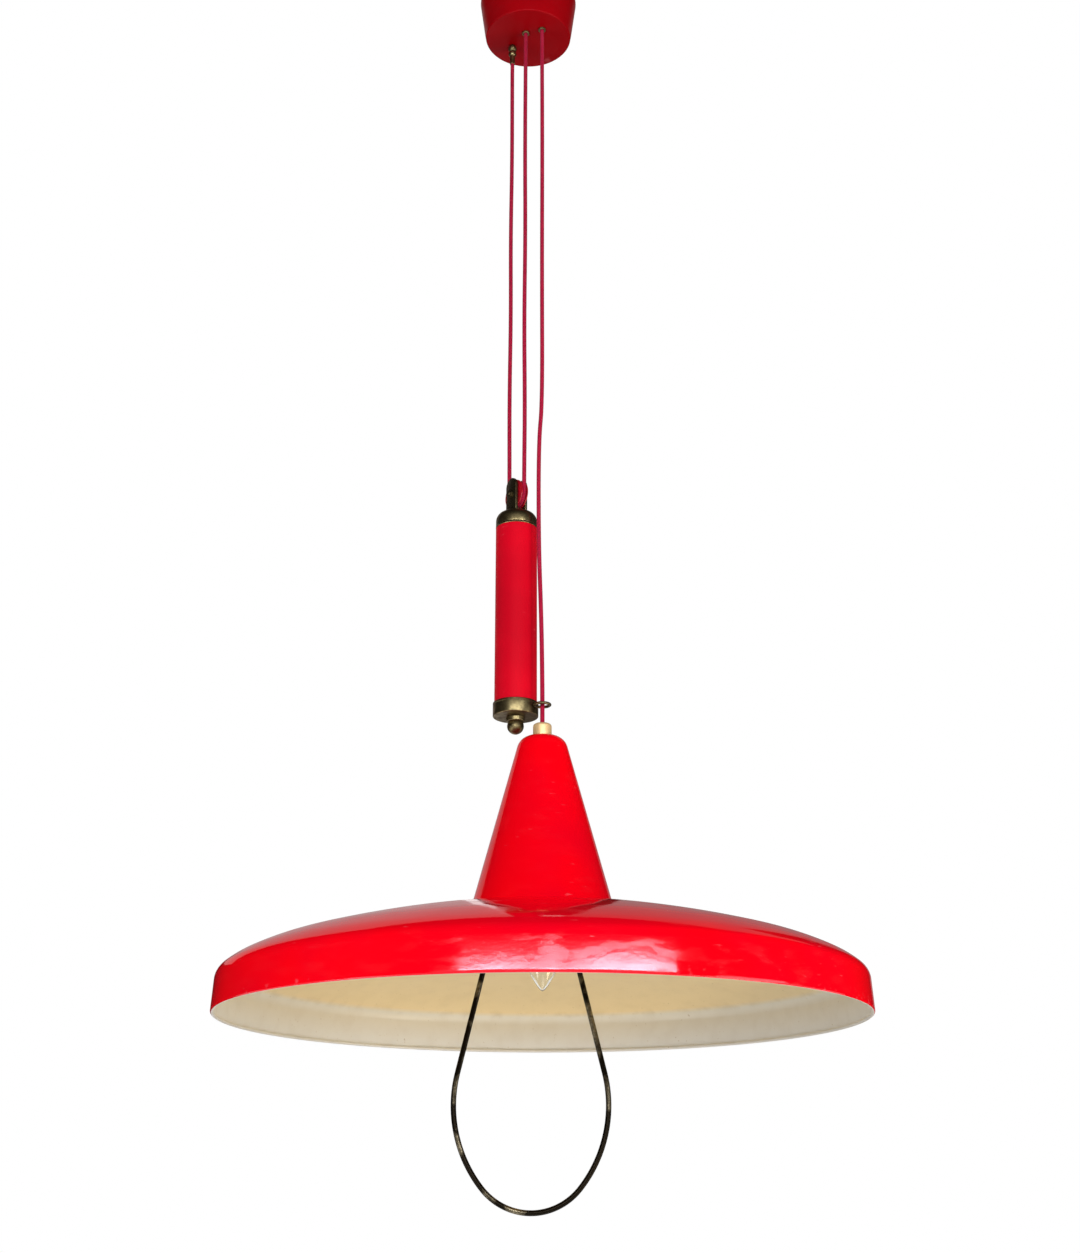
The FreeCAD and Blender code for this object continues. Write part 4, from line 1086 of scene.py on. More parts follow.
@dataclass
class Flex:
    """The braided flex: one length from the canopy anchor round both sheaves, and the lamp's
    own fall.  Control points are in metres, from the route of the solids, moved a little
    where the photographed cord hangs slightly bowed."""

    finishes: Finishes
    diameter: float = 0.0044
    sides: int = 14
    samples: int = 72
    lines: dict[str, list[Vector]] = field(default_factory=dict)
    over_pulleys: tuple[Spot, ...] = (
        (-0.008000, 0.022000, -0.0085),
        (-0.015000, 0.022000, -0.0085),
        (-0.023329, 0.022000, -0.0085),
        (-0.018329, 0.012107, -0.0225),
        (-0.018329, 0.012107, -0.0450),
        (-0.018329, 0.012107, -0.0750),
        (-0.018329, 0.012107, -0.1010),
        (-0.017900, 0.012107, -0.2100),
        (-0.018900, 0.012107, -0.3100),
        (-0.018000, 0.012107, -0.4100),
        (-0.019000, 0.012107, -0.5100),
        (-0.018329, 0.012107, -0.6020),
        (-0.018329, 0.012107, -0.6426),
        (-0.002671, -0.011107, -0.6426),
        (-0.002671, -0.011107, -0.6020),
        (-0.002200, -0.011107, -0.5300),
        (-0.003300, -0.011107, -0.4300),
        (-0.002300, -0.011107, -0.3200),
        (-0.003100, -0.011107, -0.2100),
        (-0.002671, -0.011107, -0.0760),
        (-0.002671, -0.011107, -0.0142),
        (0.016000, -0.017000, -0.0142),
        (0.016000, -0.017000, -0.0240),
    )
    to_lamp: tuple[Spot, ...] = (
        (0.016000, -0.017000, -0.0240),
        (0.016000, -0.017000, -0.0760),
        (0.016300, -0.017000, -0.2100),
        (0.015800, -0.017000, -0.3700),
        (0.016200, -0.017000, -0.5300),
        (0.012300, -0.017000, -0.5750),
        (0.012300, -0.017000, -0.6900),
        (0.015000, -0.017000, -0.7700),
        (0.016000, -0.017000, -0.8350),
        (0.016000, -0.017000, -0.8810),
        (0.016000, -0.017000, -0.9400),
        (0.016000, -0.017000, -0.9980),
    )

    def build(self) -> None:
        """Makes both lengths."""
        upper = self._length("flex_over_pulleys", self.over_pulleys)
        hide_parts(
            "supply_tail", "fall_still", "turn_weight", "fall_return", "turn_ceiling"
        )
        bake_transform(upper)
        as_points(self.lines[upper.name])
        lower = self._length("flex_to_lamp", self.to_lamp)
        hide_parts("fall_lamp", "lamp_tail")
        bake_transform(lower)
        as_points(self.lines[lower.name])

    def _length(self, name: str, route: Sequence[Spot]) -> bpy.types.Object:
        """One length of flex along the smooth line of its route.

        Args:
            name: The piece's name.
            route: The line's control points.

        Returns:
            The braided tube.
        """
        curve = bpy.data.curves.new(f"{name}_line", "CURVE")
        curve.dimensions = "3D"
        curve.resolution_u = self.samples
        spline = curve.splines.new("NURBS")
        spline.points.add(len(route) - 1)
        for point, spot in zip(spline.points, route):
            point.co = (*spot, 1.0)
        spline.order_u = 3
        spline.use_endpoint_u = True
        guide = bpy.data.objects.new(f"{name}_line", curve)
        line_mesh = bpy.data.meshes.new_from_object(guide)
        line = [vertex.co.copy() for vertex in line_mesh.vertices]
        bpy.data.objects.remove(guide)
        bpy.data.meshes.remove(line_mesh)
        piece = Tubing(name, line, self.diameter / 2, self.sides).build(self.finishes.braid)
        self.lines[name] = line
        span = sum((after - before).length for before, after in zip(line, line[1:]))
        log.info("%s has %d rings and is %.4f m long", name, len(line), span)
        return piece


# ---- canopy ------------------------------------------------------------------------------


@dataclass
class Canopy:
    """The ceiling cup with its fittings, open at the top, and the sheave inside it."""

    finishes: Finishes
    depth: float = 49.0
    rim_radius: float = 55.5
    face_radius: float = 49.0
    wall: float = 1.5
    corner: float = 1.6
    bush_bore: float = 2.6
    bush_flange: float = 4.3
    bush_drop: float = 2.4
    anchor_length: float = 26.0
    ball: float = 5.0
    inner_steel: tuple[str, ...] = (
        "ceiling_strap",
        "ceiling_yoke",
        "yoke_rivet",
        "ceiling_axle",
        "axle_washer",
        "terminal_screws",
    )

    def build(self) -> None:
        """Makes the cup, its bushes and the anchor, and dresses what is hidden inside."""
        settle(self._cup(), "ceiling", "red_enamel_steel", "canopy_shell")
        for name, spot, node in (
            ("return_bush", RETURN, "bush_return"),
            ("lamp_bush", LAMP, "bush_lamp"),
        ):
            settle(self._bush(name, spot), "ceiling", "bright_brass", node)
        settle(self._anchor(), "ceiling", "aged_brass", "cord_anchor")
        turn = axle_turn(CEILING_ACROSS, UP)
        sheave = Sheave("canopy_sheave", CEILING_PITCH, CEILING_AXLE, turn)
        wheel = sheave.build(self.finishes.handled)
        settle(wheel, "ceiling_pulley", "aged_brass", "ceiling_sheave")
        for name in self.inner_steel:
            dress(name, self.finishes.steel)
        dress("canopy_screws", self.finishes.handled)
        dress("anchor_nut", self.finishes.polished)
        dress("terminal_block", self.finishes.white)

    def _cup(self) -> bpy.types.Object:
        """The pressed cup with a small radius round its face.

        Returns:
            The cup.
        """
        slope = (self.rim_radius - self.face_radius) / self.depth
        low = -self.depth
        edge = self.face_radius - self.corner
        outline = [(0.0, low), (edge * 0.5, low), (edge, low)]
        outline += bend(-90, 0, (edge, low + self.corner), self.corner, 6)
        outline += [(self.face_radius + slope * h, low + h) for h in (8.0, 20.0, 34.0, 48.0)]
        rim, inside = self.rim_radius, low + self.wall
        outline += [(rim - 0.1, -0.2), (rim - 0.5, 0.0), (rim - self.wall, 0.0)]
        outline += [(self.face_radius - self.wall, inside + 1), (edge - 1, inside), (0.0, inside)]
        # the cup's enamel is painted darker to stand for the shade it hangs in
        return Turning("canopy_cup", outline, Vector((0, 0, 0)), 160).build(self.finishes.canopy)

    def _bush(self, name: str, spot: Vector) -> bpy.types.Object:
        """A flanged brass bush seen from below.

        Args:
            name: The bush's name.
            spot: Where the flex passes, in millimetres.

        Returns:
            The bush.
        """
        bore, flange, drop = self.bush_bore, self.bush_flange, self.bush_drop
        outline = [(bore, 4.0), (bore, -drop + 0.5)]
        outline += bend(180, 270, (bore + 0.5, -drop + 0.5), 0.5, 4)
        outline += [(flange - 0.8, -drop)]
        outline += bend(-90, 0, (flange - 0.8, -drop + 0.8), 0.8, 5)
        outline += [(flange, 0.0), (bore, 0.0)]
        base = Vector((spot.x, spot.y, -self.depth))
        return Turning(name, outline, base, 48).build(self.finishes.handled)

    def _anchor(self) -> bpy.types.Object:
        """Two beads over a tapered tail that grips the still end of the flex.

        Returns:
            The anchor.
        """
        ball, bead, waist = self.ball, self.ball * 0.92, self.ball * 0.62
        half_ball = math.sqrt(ball**2 - waist**2)
        half_bead = math.sqrt(bead**2 - waist**2)
        swing = math.degrees(math.asin(half_ball / ball))
        bead_swing = math.degrees(math.asin(half_bead / bead))
        bead_low = -2 * half_ball - 2 * half_bead
        outline = [(3.6, 7.0), (3.6, 0.0), (waist, 0.0)]
        outline += bend(swing, -swing, (0.0, -half_ball), ball, 14)
        outline += bend(bead_swing, -bead_swing, (0.0, -2 * half_ball - half_bead), bead, 14)
        end = -self.anchor_length
        outline += [(waist * 0.96, bead_low - 0.6), (2.9, end + 0.4), (2.6, end), (2.25, end)]
        return Turning("anchor_beads", outline, STILL, 48).build(self.finishes.handled)


@dataclass
class Sheave:
    """A turned brass sheave with a round groove for the flex and a dished web."""

    name: str
    pitch: float
    centre: Vector
    turn: Matrix
    throat: float = 2.6
    cheek: float = 1.3
    flange: float = 2.0
    bore: float = 2.05
    web_depth: float = 0.5

    def build(self, material: bpy.types.Material) -> bpy.types.Object:
        """Turns the sheave.

        Args:
            material: Its brass.

        Returns:
            The piece.
        """
        half = self.throat + self.cheek
        edge = self.pitch + self.flange
        web = -half + self.web_depth
        cheek = [(self.bore, -half), (self.pitch * 0.45, -half), (self.pitch * 0.5, web)]
        cheek += [(self.pitch * 0.82, web), (self.pitch * 0.87, -half), (edge - 0.4, -half)]
        cheek += [(edge, -half + 0.4), (edge, -self.throat - 0.2), (edge - 0.3, -self.throat)]
        outline = [*cheek, (self.pitch, -self.throat)]
        outline += bend(270, 90, (self.pitch, 0.0), self.throat, 16)
        outline += [(r, -z) for r, z in reversed(cheek)]
        wheel = Turning(self.name, outline, self.centre, 72, self.turn, closed=True)
        return wheel.build(material)


# ---- counterweight -----------------------------------------------------------------------


@dataclass
class Counterweight:
    """Red tube between turned brass caps, a forked sheave above and a ball nut below."""

    finishes: Finishes
    cap_radius: float = 22.6
    cap_height: float = 14.2
    tube_radius: float = 21.2
    tube_wall: float = 1.2
    rod_hole: float = 3.1
    tube_top: float = 202.0
    spigot_foot: float = 194.0
    top_lip: float = 211.0
    top_crown: float = 219.5
    neck: float = 12.4
    fork_width: float = 18.0
    fork_height: float = 38.5
    fork_sheet: float = 3.0
    fork_inside: float = 4.4
    bolt_head: float = 4.0
    bolt_shank: float = 2.0
    ball: float = 8.3
    ball_drop: float = 9.3
    collar: float = 9.3
    collar_height: float = 5.0
    ring_radius: float = 7.4
    ring_wire: float = 1.5
    ring_rise: float = 7.4

    def build(self) -> None:
        """Makes every visible piece of the counterweight and dresses the hidden ones."""
        body = "counterweight"
        settle(self._tube(), body, "red_enamel_steel", "weight_tube")
        settle(self._top_cap(), body, "aged_brass", "top_cap")
        settle(self._bottom_cap(), body, "aged_brass", "bottom_cap")
        settle(self._ball_nut(), body, "aged_brass", "ball_nut")
        settle(self._fork(), body, "aged_brass", "pulley_fork")
        settle(self._bolt(), body, "aged_brass", "sheave_bolt")
        settle(self._guide_ring(), body, "aged_brass", "guide_ring")
        turn = axle_turn(WEIGHT_ACROSS, UP)
        sheave = Sheave("weight_sheave_wheel", WEIGHT_PITCH, WEIGHT_AXLE, turn)
        wheel = sheave.build(self.finishes.wheel)
        settle(wheel, "weight_pulley", "red_enamel_steel", "weight_sheave")
        dress("weight_core", self.finishes.lead)
        dress("sheave_nut", self.finishes.dark)
        dress("tie_rod", self.finishes.steel)

    def _tube(self) -> bpy.types.Object:
        """The enamelled tube, with the soft edge that thick enamel leaves at both ends.

        Returns:
            The tube.
        """
        r, inside = self.tube_radius, self.tube_radius - self.tube_wall
        outline = [(inside, 3.0), (r - 0.3, 3.0), (r, 3.4)]
        outline += [(r, h) for h in (30.0, 70.0, 110.0, 150.0, 190.0)]
        end = self.tube_top - 0.05
        outline += [(r, self.tube_top - 0.5), (r - 0.35, end), (inside, end)]
        tube = Turning("weight_sleeve", outline, WEIGHT, 128, closed=True)
        return tube.build(self.finishes.gloss)

    def _top_cap(self) -> bpy.types.Object:
        """The upper cap: a short lip and a round shoulder up to the fork's seat.

        Returns:
            The cap.
        """
        r, seat, hole = self.tube_radius, self.tube_top, self.rod_hole
        foot = self.spigot_foot
        outline = [(hole, foot), (r - 1.3, foot), (r - 1.3, seat), (r - 0.2, seat)]
        outline += [(r + 0.1, seat + 0.4), (r + 0.1, seat + 1.6), (r - 0.15, seat + 2.0)]
        shoulder = self.top_lip - 1
        outline += [(r, seat + 2.4), (r, shoulder)]
        for i in range(1, 11):
            angle = math.pi / 20 * i
            out = self.neck + (r - self.neck) * math.cos(angle)
            outline.append((out, shoulder + (self.top_crown - shoulder) * math.sin(angle)))
        outline.append((hole, self.top_crown))
        return Turning("weight_upper_cap", outline, WEIGHT, 128).build(self.finishes.handled)

    def _bottom_cap(self) -> bpy.types.Object:
        """The lower cap that the tube stands in.

        Returns:
            The cap.
        """
        r, top, hole = self.cap_radius, self.cap_height, self.rod_hole
        outline = [(hole, 0.0), (r - 1.2, 0.0)]
        outline += bend(-90, 0, (r - 1.0, 1.0), 1.0, 5)
        outline += [(r, top - 2.6), (r - 0.25, top - 2.3), (r, top - 2.0), (r, top - 0.6)]
        outline += bend(0, 90, (r - 0.6, top - 0.6), 0.6, 4)
        socket = self.tube_radius + 0.1
        outline += [(socket, top), (socket, 3.0), (hole, 3.0)]
        return Turning("weight_lower_cap", outline, WEIGHT, 128).build(self.finishes.handled)

    def _ball_nut(self) -> bpy.types.Object:
        """Collar and ball that close the tie rod.

        Returns:
            The ball nut.
        """
        low = -self.ball_drop
        start = math.degrees(math.asin((self.ball_drop - self.collar_height) / self.ball))
        collar, foot = self.collar, -self.collar_height
        outline = [(self.rod_hole, 0.0), (collar - 0.5, 0.0), (collar, -0.5), (collar, foot + 0.8)]
        outline += bend(0, -90, (collar - 0.8, foot + 0.8), 0.8, 4)
        neck = self.ball * math.cos(math.radians(start))
        outline += [(neck, foot)]
        outline += bend(start, -90, (0.0, low), self.ball, 22)
        outline[-1] = (0.0, low - self.ball)
        return Turning("tie_rod_ball", outline, WEIGHT, 72).build(self.finishes.handled)

    def _fork(self) -> bpy.types.Object:
        """Two round-topped cheeks brazed to a foot plate.

        Returns:
            The fork.
        """
        base = Vector((WEIGHT.x, WEIGHT.y, WEIGHT.z + self.top_crown))
        side = self.fork_inside + self.fork_sheet / 2
        half = self.fork_width / 2
        cheek = [(-half, 0.0), (half, 0.0)]
        cheek += bend(0, 180, (0.0, self.fork_height - half), half, 20)
        cheek.insert(2, (half, self.fork_height - half))
        turn = axle_turn(WEIGHT_ACROSS, UP)
        axle = WEIGHT_ACROSS.cross(UP)
        pieces = []
        for i, sign in enumerate((1, -1)):
            place = base + axle * side * sign
            plate = Plate(f"fork_cheek_{i}", cheek, self.fork_sheet, place, turn, 0.5)
            pieces.append(plate.build(self.finishes.dark))
        sole = [(-half, 0.1), (half, 0.1), (half, self.fork_sheet), (-half, self.fork_sheet)]
        foot = Plate("fork_foot", sole, 2 * self.fork_inside + 1.0, base, turn, 0.2)
        return joined("sheave_fork", [*pieces, foot.build(self.finishes.dark)])

    def _bolt(self) -> bpy.types.Object:
        """The slotted cheese-head bolt that the sheave runs on.

        Returns:
            The bolt.
        """
        outside = self.fork_inside + self.fork_sheet
        head, shank, face = self.bolt_head, self.bolt_shank, -outside - 2.2
        outline = [(0.0, face), (head - 0.8, face)]
        outline += bend(-90, 0, (head - 0.8, face + 0.8), 0.8, 4)
        outline += [(head, -outside), (shank, -outside), (shank, outside + 2.6)]
        outline += [(shank - 0.4, outside + 3.0), (0.0, outside + 3.0)]
        turn = axle_turn(WEIGHT_ACROSS, UP)
        bolt = Turning("sheave_bolt_slotted", outline, WEIGHT_AXLE, 40, turn)
        return slotted(bolt.build(self.finishes.dark), WEIGHT_AXLE, turn, face, head)

    def _guide_ring(self) -> bpy.types.Object:
        """The wire eye on a short stub that keeps the lamp's fall beside the weight.

        Returns:
            The eye with its stub.
        """
        centre = Vector((LAMP.x, LAMP.y, WEIGHT.z + self.ring_rise))
        around = [i * 2 * math.pi / 48 for i in range(48)]
        spokes = [Vector((math.cos(a), math.sin(a), 0)) * self.ring_radius for a in around]
        eye_line = [(centre + spoke) * MM for spoke in spokes]
        eye = Tubing("guide_eye", eye_line, self.ring_wire * MM, closed=True)
        away = Vector((LAMP.x - WEIGHT.x, LAMP.y - WEIGHT.y, 0)).normalized()
        start = Vector((WEIGHT.x, WEIGHT.y, centre.z)) + away * (self.cap_radius - 0.4)
        end = centre - away * self.ring_radius
        stub_line = [start * MM, start.lerp(end, 0.5) * MM, end * MM]
        stub = Tubing("guide_stub", stub_line, self.ring_wire * MM)
        dark = self.finishes.dark
        return joined("guide_wire_eye", [eye.build(dark), stub.build(dark)])


def slotted(
    piece: bpy.types.Object, centre: Vector, turn: Matrix, face: float, reach: float
) -> bpy.types.Object:
    """Cuts a screwdriver slot in a head.

    Args:
        piece: The screw.
        centre: The screw's own origin, in millimetres.
        turn: Its axes, the third along the shank.
        face: Where the head's face lies along the shank.
        reach: The head's radius.

    Returns:
        The same piece, cut.
    """
    long, half = reach + 1, SLOT_WIDTH / 2
    blade = [(-long, -half), (long, -half), (long, half), (-long, half)]
    place = centre + turn.col[2] * face
    cutter = Plate("slot_blade", blade, 2 * SLOT_DEPTH, place, turn, 0.01)
    tool = cutter.build(piece.data.materials[0])
    cut = piece.modifiers.new("slot", "BOOLEAN")
    cut.operation = "DIFFERENCE"
    cut.solver = "EXACT"
    cut.object = tool
    bpy.context.view_layer.update()
    evaluated = piece.evaluated_get(bpy.context.evaluated_depsgraph_get())
    carved = bpy.data.meshes.new_from_object(evaluated)
    piece.modifiers.clear()
    piece.data = carved
    bpy.data.objects.remove(tool)
    return piece


# ---- shade -------------------------------------------------------------------------------


@dataclass
class Shade:
    """The spun dish and neck, red outside and cream inside."""

    finishes: Finishes
    rim: float = 300.0
    draft: float = 1.7
    wall_height: float = 29.0
    hem: float = 1.5
    skin: float = 0.9
    arcs: tuple[tuple[float, float, int], ...] = (
        (14.0, 46.5, 16),
        (72.0, 13.3, 8),
        (220.0, 10.3, 10),
        (1000.0, 10.85, 28),
    )
    cone_base: float = 68.2
    cone_flange: float = 9.6
    cone_lean: float = 15.2
    cone_top: float = 269.5
    crown: float = 14.0
    hole: float = 5.1
    entry_height: float = 13.5
    entry_radius: float = 9.1
    steel_fixings: tuple[str, ...] = (
        "joint_nuts",
        "joint_screws",
        "hanger_tube",
        "neck_nut",
        "holder_nut",
        "ear_strap",
    )

    def build(self) -> None:
        """Makes dish, neck and the neck's brass entry cap, and dresses their fixings."""
        settle(self._dish(), "shade", "red_enamel_shade", "dish_shell")
        settle(self._neck(), "shade", "red_enamel_shade", "cone_shell")
        settle(self._entry_cap(), "shade", "bright_brass", "entry_cap")
        for name in self.steel_fixings:
            dress(name, self.finishes.steel)

    def _skin_line(self, inset: float) -> list[tuple[float, float]]:
        """The shell's section from the wall's foot to the opening, on a skin inset inwards.

        Args:
            inset: How far inside the outer skin the line lies.

        Returns:
            The line's points.
        """
        lean = math.atan(self.draft / self.wall_height)
        x, z, heading = self.rim - self.draft - inset, self.wall_height, lean
        slope = self.draft / self.wall_height
        line = [(self.rim - inset - slope * h, h) for h in (3.0, 9.0, 16.0, 23.0)]
        line.append((x, z))
        for radius, turn, steps in self.arcs:
            arc = radius - inset
            centre = (x - arc * math.cos(heading), z - arc * math.sin(heading))
            start = math.degrees(heading)
            line += bend(start, start + turn, centre, arc, steps)
            x, z = line[-1]
            heading += math.radians(turn)
        return line

    def _dish(self) -> bpy.types.Object:
        """The dish with its rolled hem; the enamel changes colour inside the hem.

        Returns:
            The dish.
        """
        outer = self._skin_line(0.0)
        inner = self._skin_line(self.skin)
        roll = self.hem - 0.01
        hem_centre = (self.rim - self.draft * self.hem / self.wall_height - roll, self.hem)
        outline = bend(-80, 0, hem_centre, roll, 6)
        outline += outer
        turn_over = len(outline) - 1
        outline += list(reversed(inner))
        outline.append((self.rim - 1.6 * self.hem, 2 * self.hem))
        outline += bend(150, 280, hem_centre, roll, 11)[:-1]
        dish = Turning("spun_dish", outline, LAMP, 288, closed=True, crease_deg=50)
        dish.second_from = turn_over
        return dish.build(self.finishes.dish, self.finishes.cream)

    def dome_height(self, radius: float) -> float:
        """Height of the dish's outer skin at a radius on its dome.

        Args:
            radius: The distance from the lamp's axis.

        Returns:
            The height above the rim, in millimetres.
        """
        line = self._skin_line(0.0)
        for (r0, z0), (r1, z1) in zip(line, line[1:]):
            if r1 <= radius <= r0:
                return z0 + (z1 - z0) * (r0 - radius) / (r0 - r1)
        return line[-1][1]

    def _neck(self) -> bpy.types.Object:
        """The cone with its rounded crown, turned in at the foot onto the dish.

        Returns:
            The neck.
        """
        lean = math.radians(self.cone_lean)
        low = self.dome_height(self.cone_base) + 0.1
        centre_z = self.cone_top - self.crown
        tangent_z = centre_z + self.crown * math.sin(lean)
        tangent_x = self.cone_base - (tangent_z - low) * math.tan(lean)
        centre_x = tangent_x - self.crown * math.cos(lean)
        flange_in = self.cone_base - self.cone_flange
        flange_z = self.dome_height(flange_in)
        outline = [(flange_in, flange_z + 0.1)]
        outline += [(self.cone_base - 0.5, low), (self.cone_base - 0.05, low + 0.25)]
        outline += [
            (self.cone_base + (tangent_x - self.cone_base) * s, low + (tangent_z - low) * s)
            for s in (0.08, 0.2, 0.35, 0.5, 0.65, 0.8, 0.92, 1.0)
        ]
        outline += bend(self.cone_lean, 90, (centre_x, centre_z), self.crown, 18)
        outline += [(self.hole, self.cone_top)]
        turn_over = len(outline) - 1
        outline += [(self.hole, self.cone_top - self.skin), (centre_x, self.cone_top - self.skin)]
        outline += bend(90, self.cone_lean, (centre_x, centre_z), self.crown - self.skin, 12)
        outline += [(self.cone_base - self.skin * 1.3, low + self.skin)]
        outline += [(flange_in, flange_z + 1.0)]
        neck = Turning("spun_neck", outline, LAMP, 192, closed=True, crease_deg=50)
        neck.second_from = turn_over
        return neck.build(self.finishes.dish, self.finishes.cream)

    def _entry_cap(self) -> bpy.types.Object:
        """The bright cap that the flex enters.

        Returns:
            The cap.
        """
        low, radius = self.cone_top, self.entry_radius
        top = low + self.entry_height
        outline = [(self.hole, low), (radius - 0.4, low), (radius, low + 0.4), (radius, top - 3.2)]
        outline += bend(0, 90, (radius - 3.0, top - 3.2), 3.0, 8)
        outline += [(3.0, top - 0.2), (2.35, top - 0.8), (2.3, top - 5)]
        return Turning("flex_entry_cap", outline, LAMP, 64).build(self.finishes.polished)


@dataclass
class Lampholder:
    """Black moulded lampholder, with a clear pointed bulb in its brass screw cap."""

    finishes: Finishes
    top: float = 178.0
    cap_height: float = 18.0
    radius: float = 18.0
    length: float = 44.0
    wall: float = 2.2
    grips: int = 9
    grip_pitch: float = 3.0
    grip_depth: float = 0.35
    bulb_tip: float = 26.0
    bulb_length: float = 79.0
    bulb_radius: float = 17.5
    bulb_neck: float = 12.0
    glass: float = 0.8
    thread_radius: float = 12.75
    thread_depth: float = 0.42
    thread_pitch: float = 3.96
    bulb_shape: tuple[Point, ...] = (
        (0.0, 0.0),
        (0.06, 0.006),
        (0.14, 0.02),
        (0.27, 0.055),
        (0.42, 0.105),
        (0.58, 0.165),
        (0.74, 0.235),
        (0.88, 0.31),
        (0.97, 0.385),
        (1.0, 0.45),
        (0.985, 0.54),
        (0.94, 0.64),
        (0.87, 0.75),
        (0.79, 0.86),
        (0.72, 0.94),
    )

    def build(self) -> None:
        """Makes the moulded pieces and the bulb, and dresses the hidden metal."""
        settle(self._cap(), "shade", "black_resin", "holder_cap")
        settle(self._skirt(), "shade", "black_resin", "holder_skirt")
        settle(self._ring(), "shade", "black_resin", "holder_ring")
        settle(self._envelope(), "shade", "clear_glass", "bulb_glass")
        settle(self._screw_cap(), "shade", "bright_brass", "bulb_cap")
        for name in ("screw_shell", "centre_contact"):
            dress(name, self.finishes.polished)
        dress("bulb_stem", self.finishes.glass)

    def _cap(self) -> bpy.types.Object:
        """The domed upper half.

        Returns:
            The upper half.
        """
        r, low = self.radius, self.top - self.cap_height
        inside, under = r - self.wall, self.top - self.wall
        outline = [(3.9, under), (3.9, self.top), (9.4, self.top)]
        outline += bend(90, 40, (9.4, self.top - 2.0), 2.0, 4)
        outline += [(r - 0.9, low + 6.2), (r - 0.2, low + 4.6), (r, low + 3.4), (r, low + 0.02)]
        outline += [(inside, low + 0.02), (inside, low + 3), (8.0, under)]
        return Turning("holder_dome", outline, LAMP, 72, closed=True).build(self.finishes.black)

    def _skirt(self) -> bpy.types.Object:
        """The long skirt round the bulb's cap, with moulded grip lines.

        Returns:
            The skirt.
        """
        high = self.top - self.cap_height
        low = high - self.length
        r, inside, under = self.radius, self.radius - self.wall, high - self.wall
        outline = [(inside, low + 0.3), (r - 0.6, low), (r, low + 0.6)]
        for i in range(self.grips):
            z = low + 12 + i * self.grip_pitch
            outline += [(r, z), (r - self.grip_depth, z + 0.5), (r, z + 1.0)]
        outline += [(r, high - 0.02), (0.0, high - 0.02), (0.0, under)]
        outline += [(inside, under), (inside, low + 0.3)]
        skirt = Turning("holder_skirt_ribbed", outline, LAMP, 72, crease_deg=25)
        return skirt.build(self.finishes.black)

    def _ring(self) -> bpy.types.Object:
        """The threaded shade ring, screwed up the skirt.

        Returns:
            The ring.
        """
        low = self.top - self.cap_height - self.length + 4
        inner, outer, tall = self.radius + 0.1, self.radius + 1.6, 6.0
        outline = [(inner, low), (outer - 0.5, low), (outer, low + 0.5), (outer, low + tall - 0.5)]
        outline += [(outer - 0.5, low + tall), (inner, low + tall)]
        ring = Turning("holder_shade_ring", outline, LAMP, 48, closed=True)
        return ring.build(self.finishes.black)

    def _envelope(self) -> bpy.types.Object:
        """The blown envelope, drawn to a soft point.

        Returns:
            The glass.
        """
        tip, span, wide = self.bulb_tip, self.bulb_length, self.bulb_radius
        outer = [(wide * r, tip + span * h) for r, h in self.bulb_shape]
        outer.append((self.bulb_neck, tip + span))
        inner = []
        for r, z in reversed(outer):
            lift = self.glass if r < wide * 0.5 else 0.0
            inner.append((max(0.0, r - self.glass), z + lift))
        inner[-1] = (0.0, tip + 2 * self.glass)
        bulb = Turning("bulb_envelope", outer + inner, LAMP, 64, crease_deg=60)
        return bulb.build(self.finishes.glass)

    def _screw_cap(self) -> bpy.types.Object:
        """The rolled thread of the bulb's cap.

        Returns:
            The screw cap.
        """
        base = self.bulb_tip + self.bulb_length
        end = base + 24.0
        outline = [(12.3, base), (12.8, base)]
        for i in range(24):
            swell = self.thread_depth * math.sin(i * math.pi / 3)
            outline.append((self.thread_radius + swell, base + 1.5 + i * self.thread_pitch / 6))
        outline += [(11.0, base + 18.5), (5.0, base + 22.5), (5.0, end), (0.0, end)]
        return Turning("bulb_screw_cap", outline, LAMP, 64).build(self.finishes.polished)


# ---- handle ------------------------------------------------------------------------------


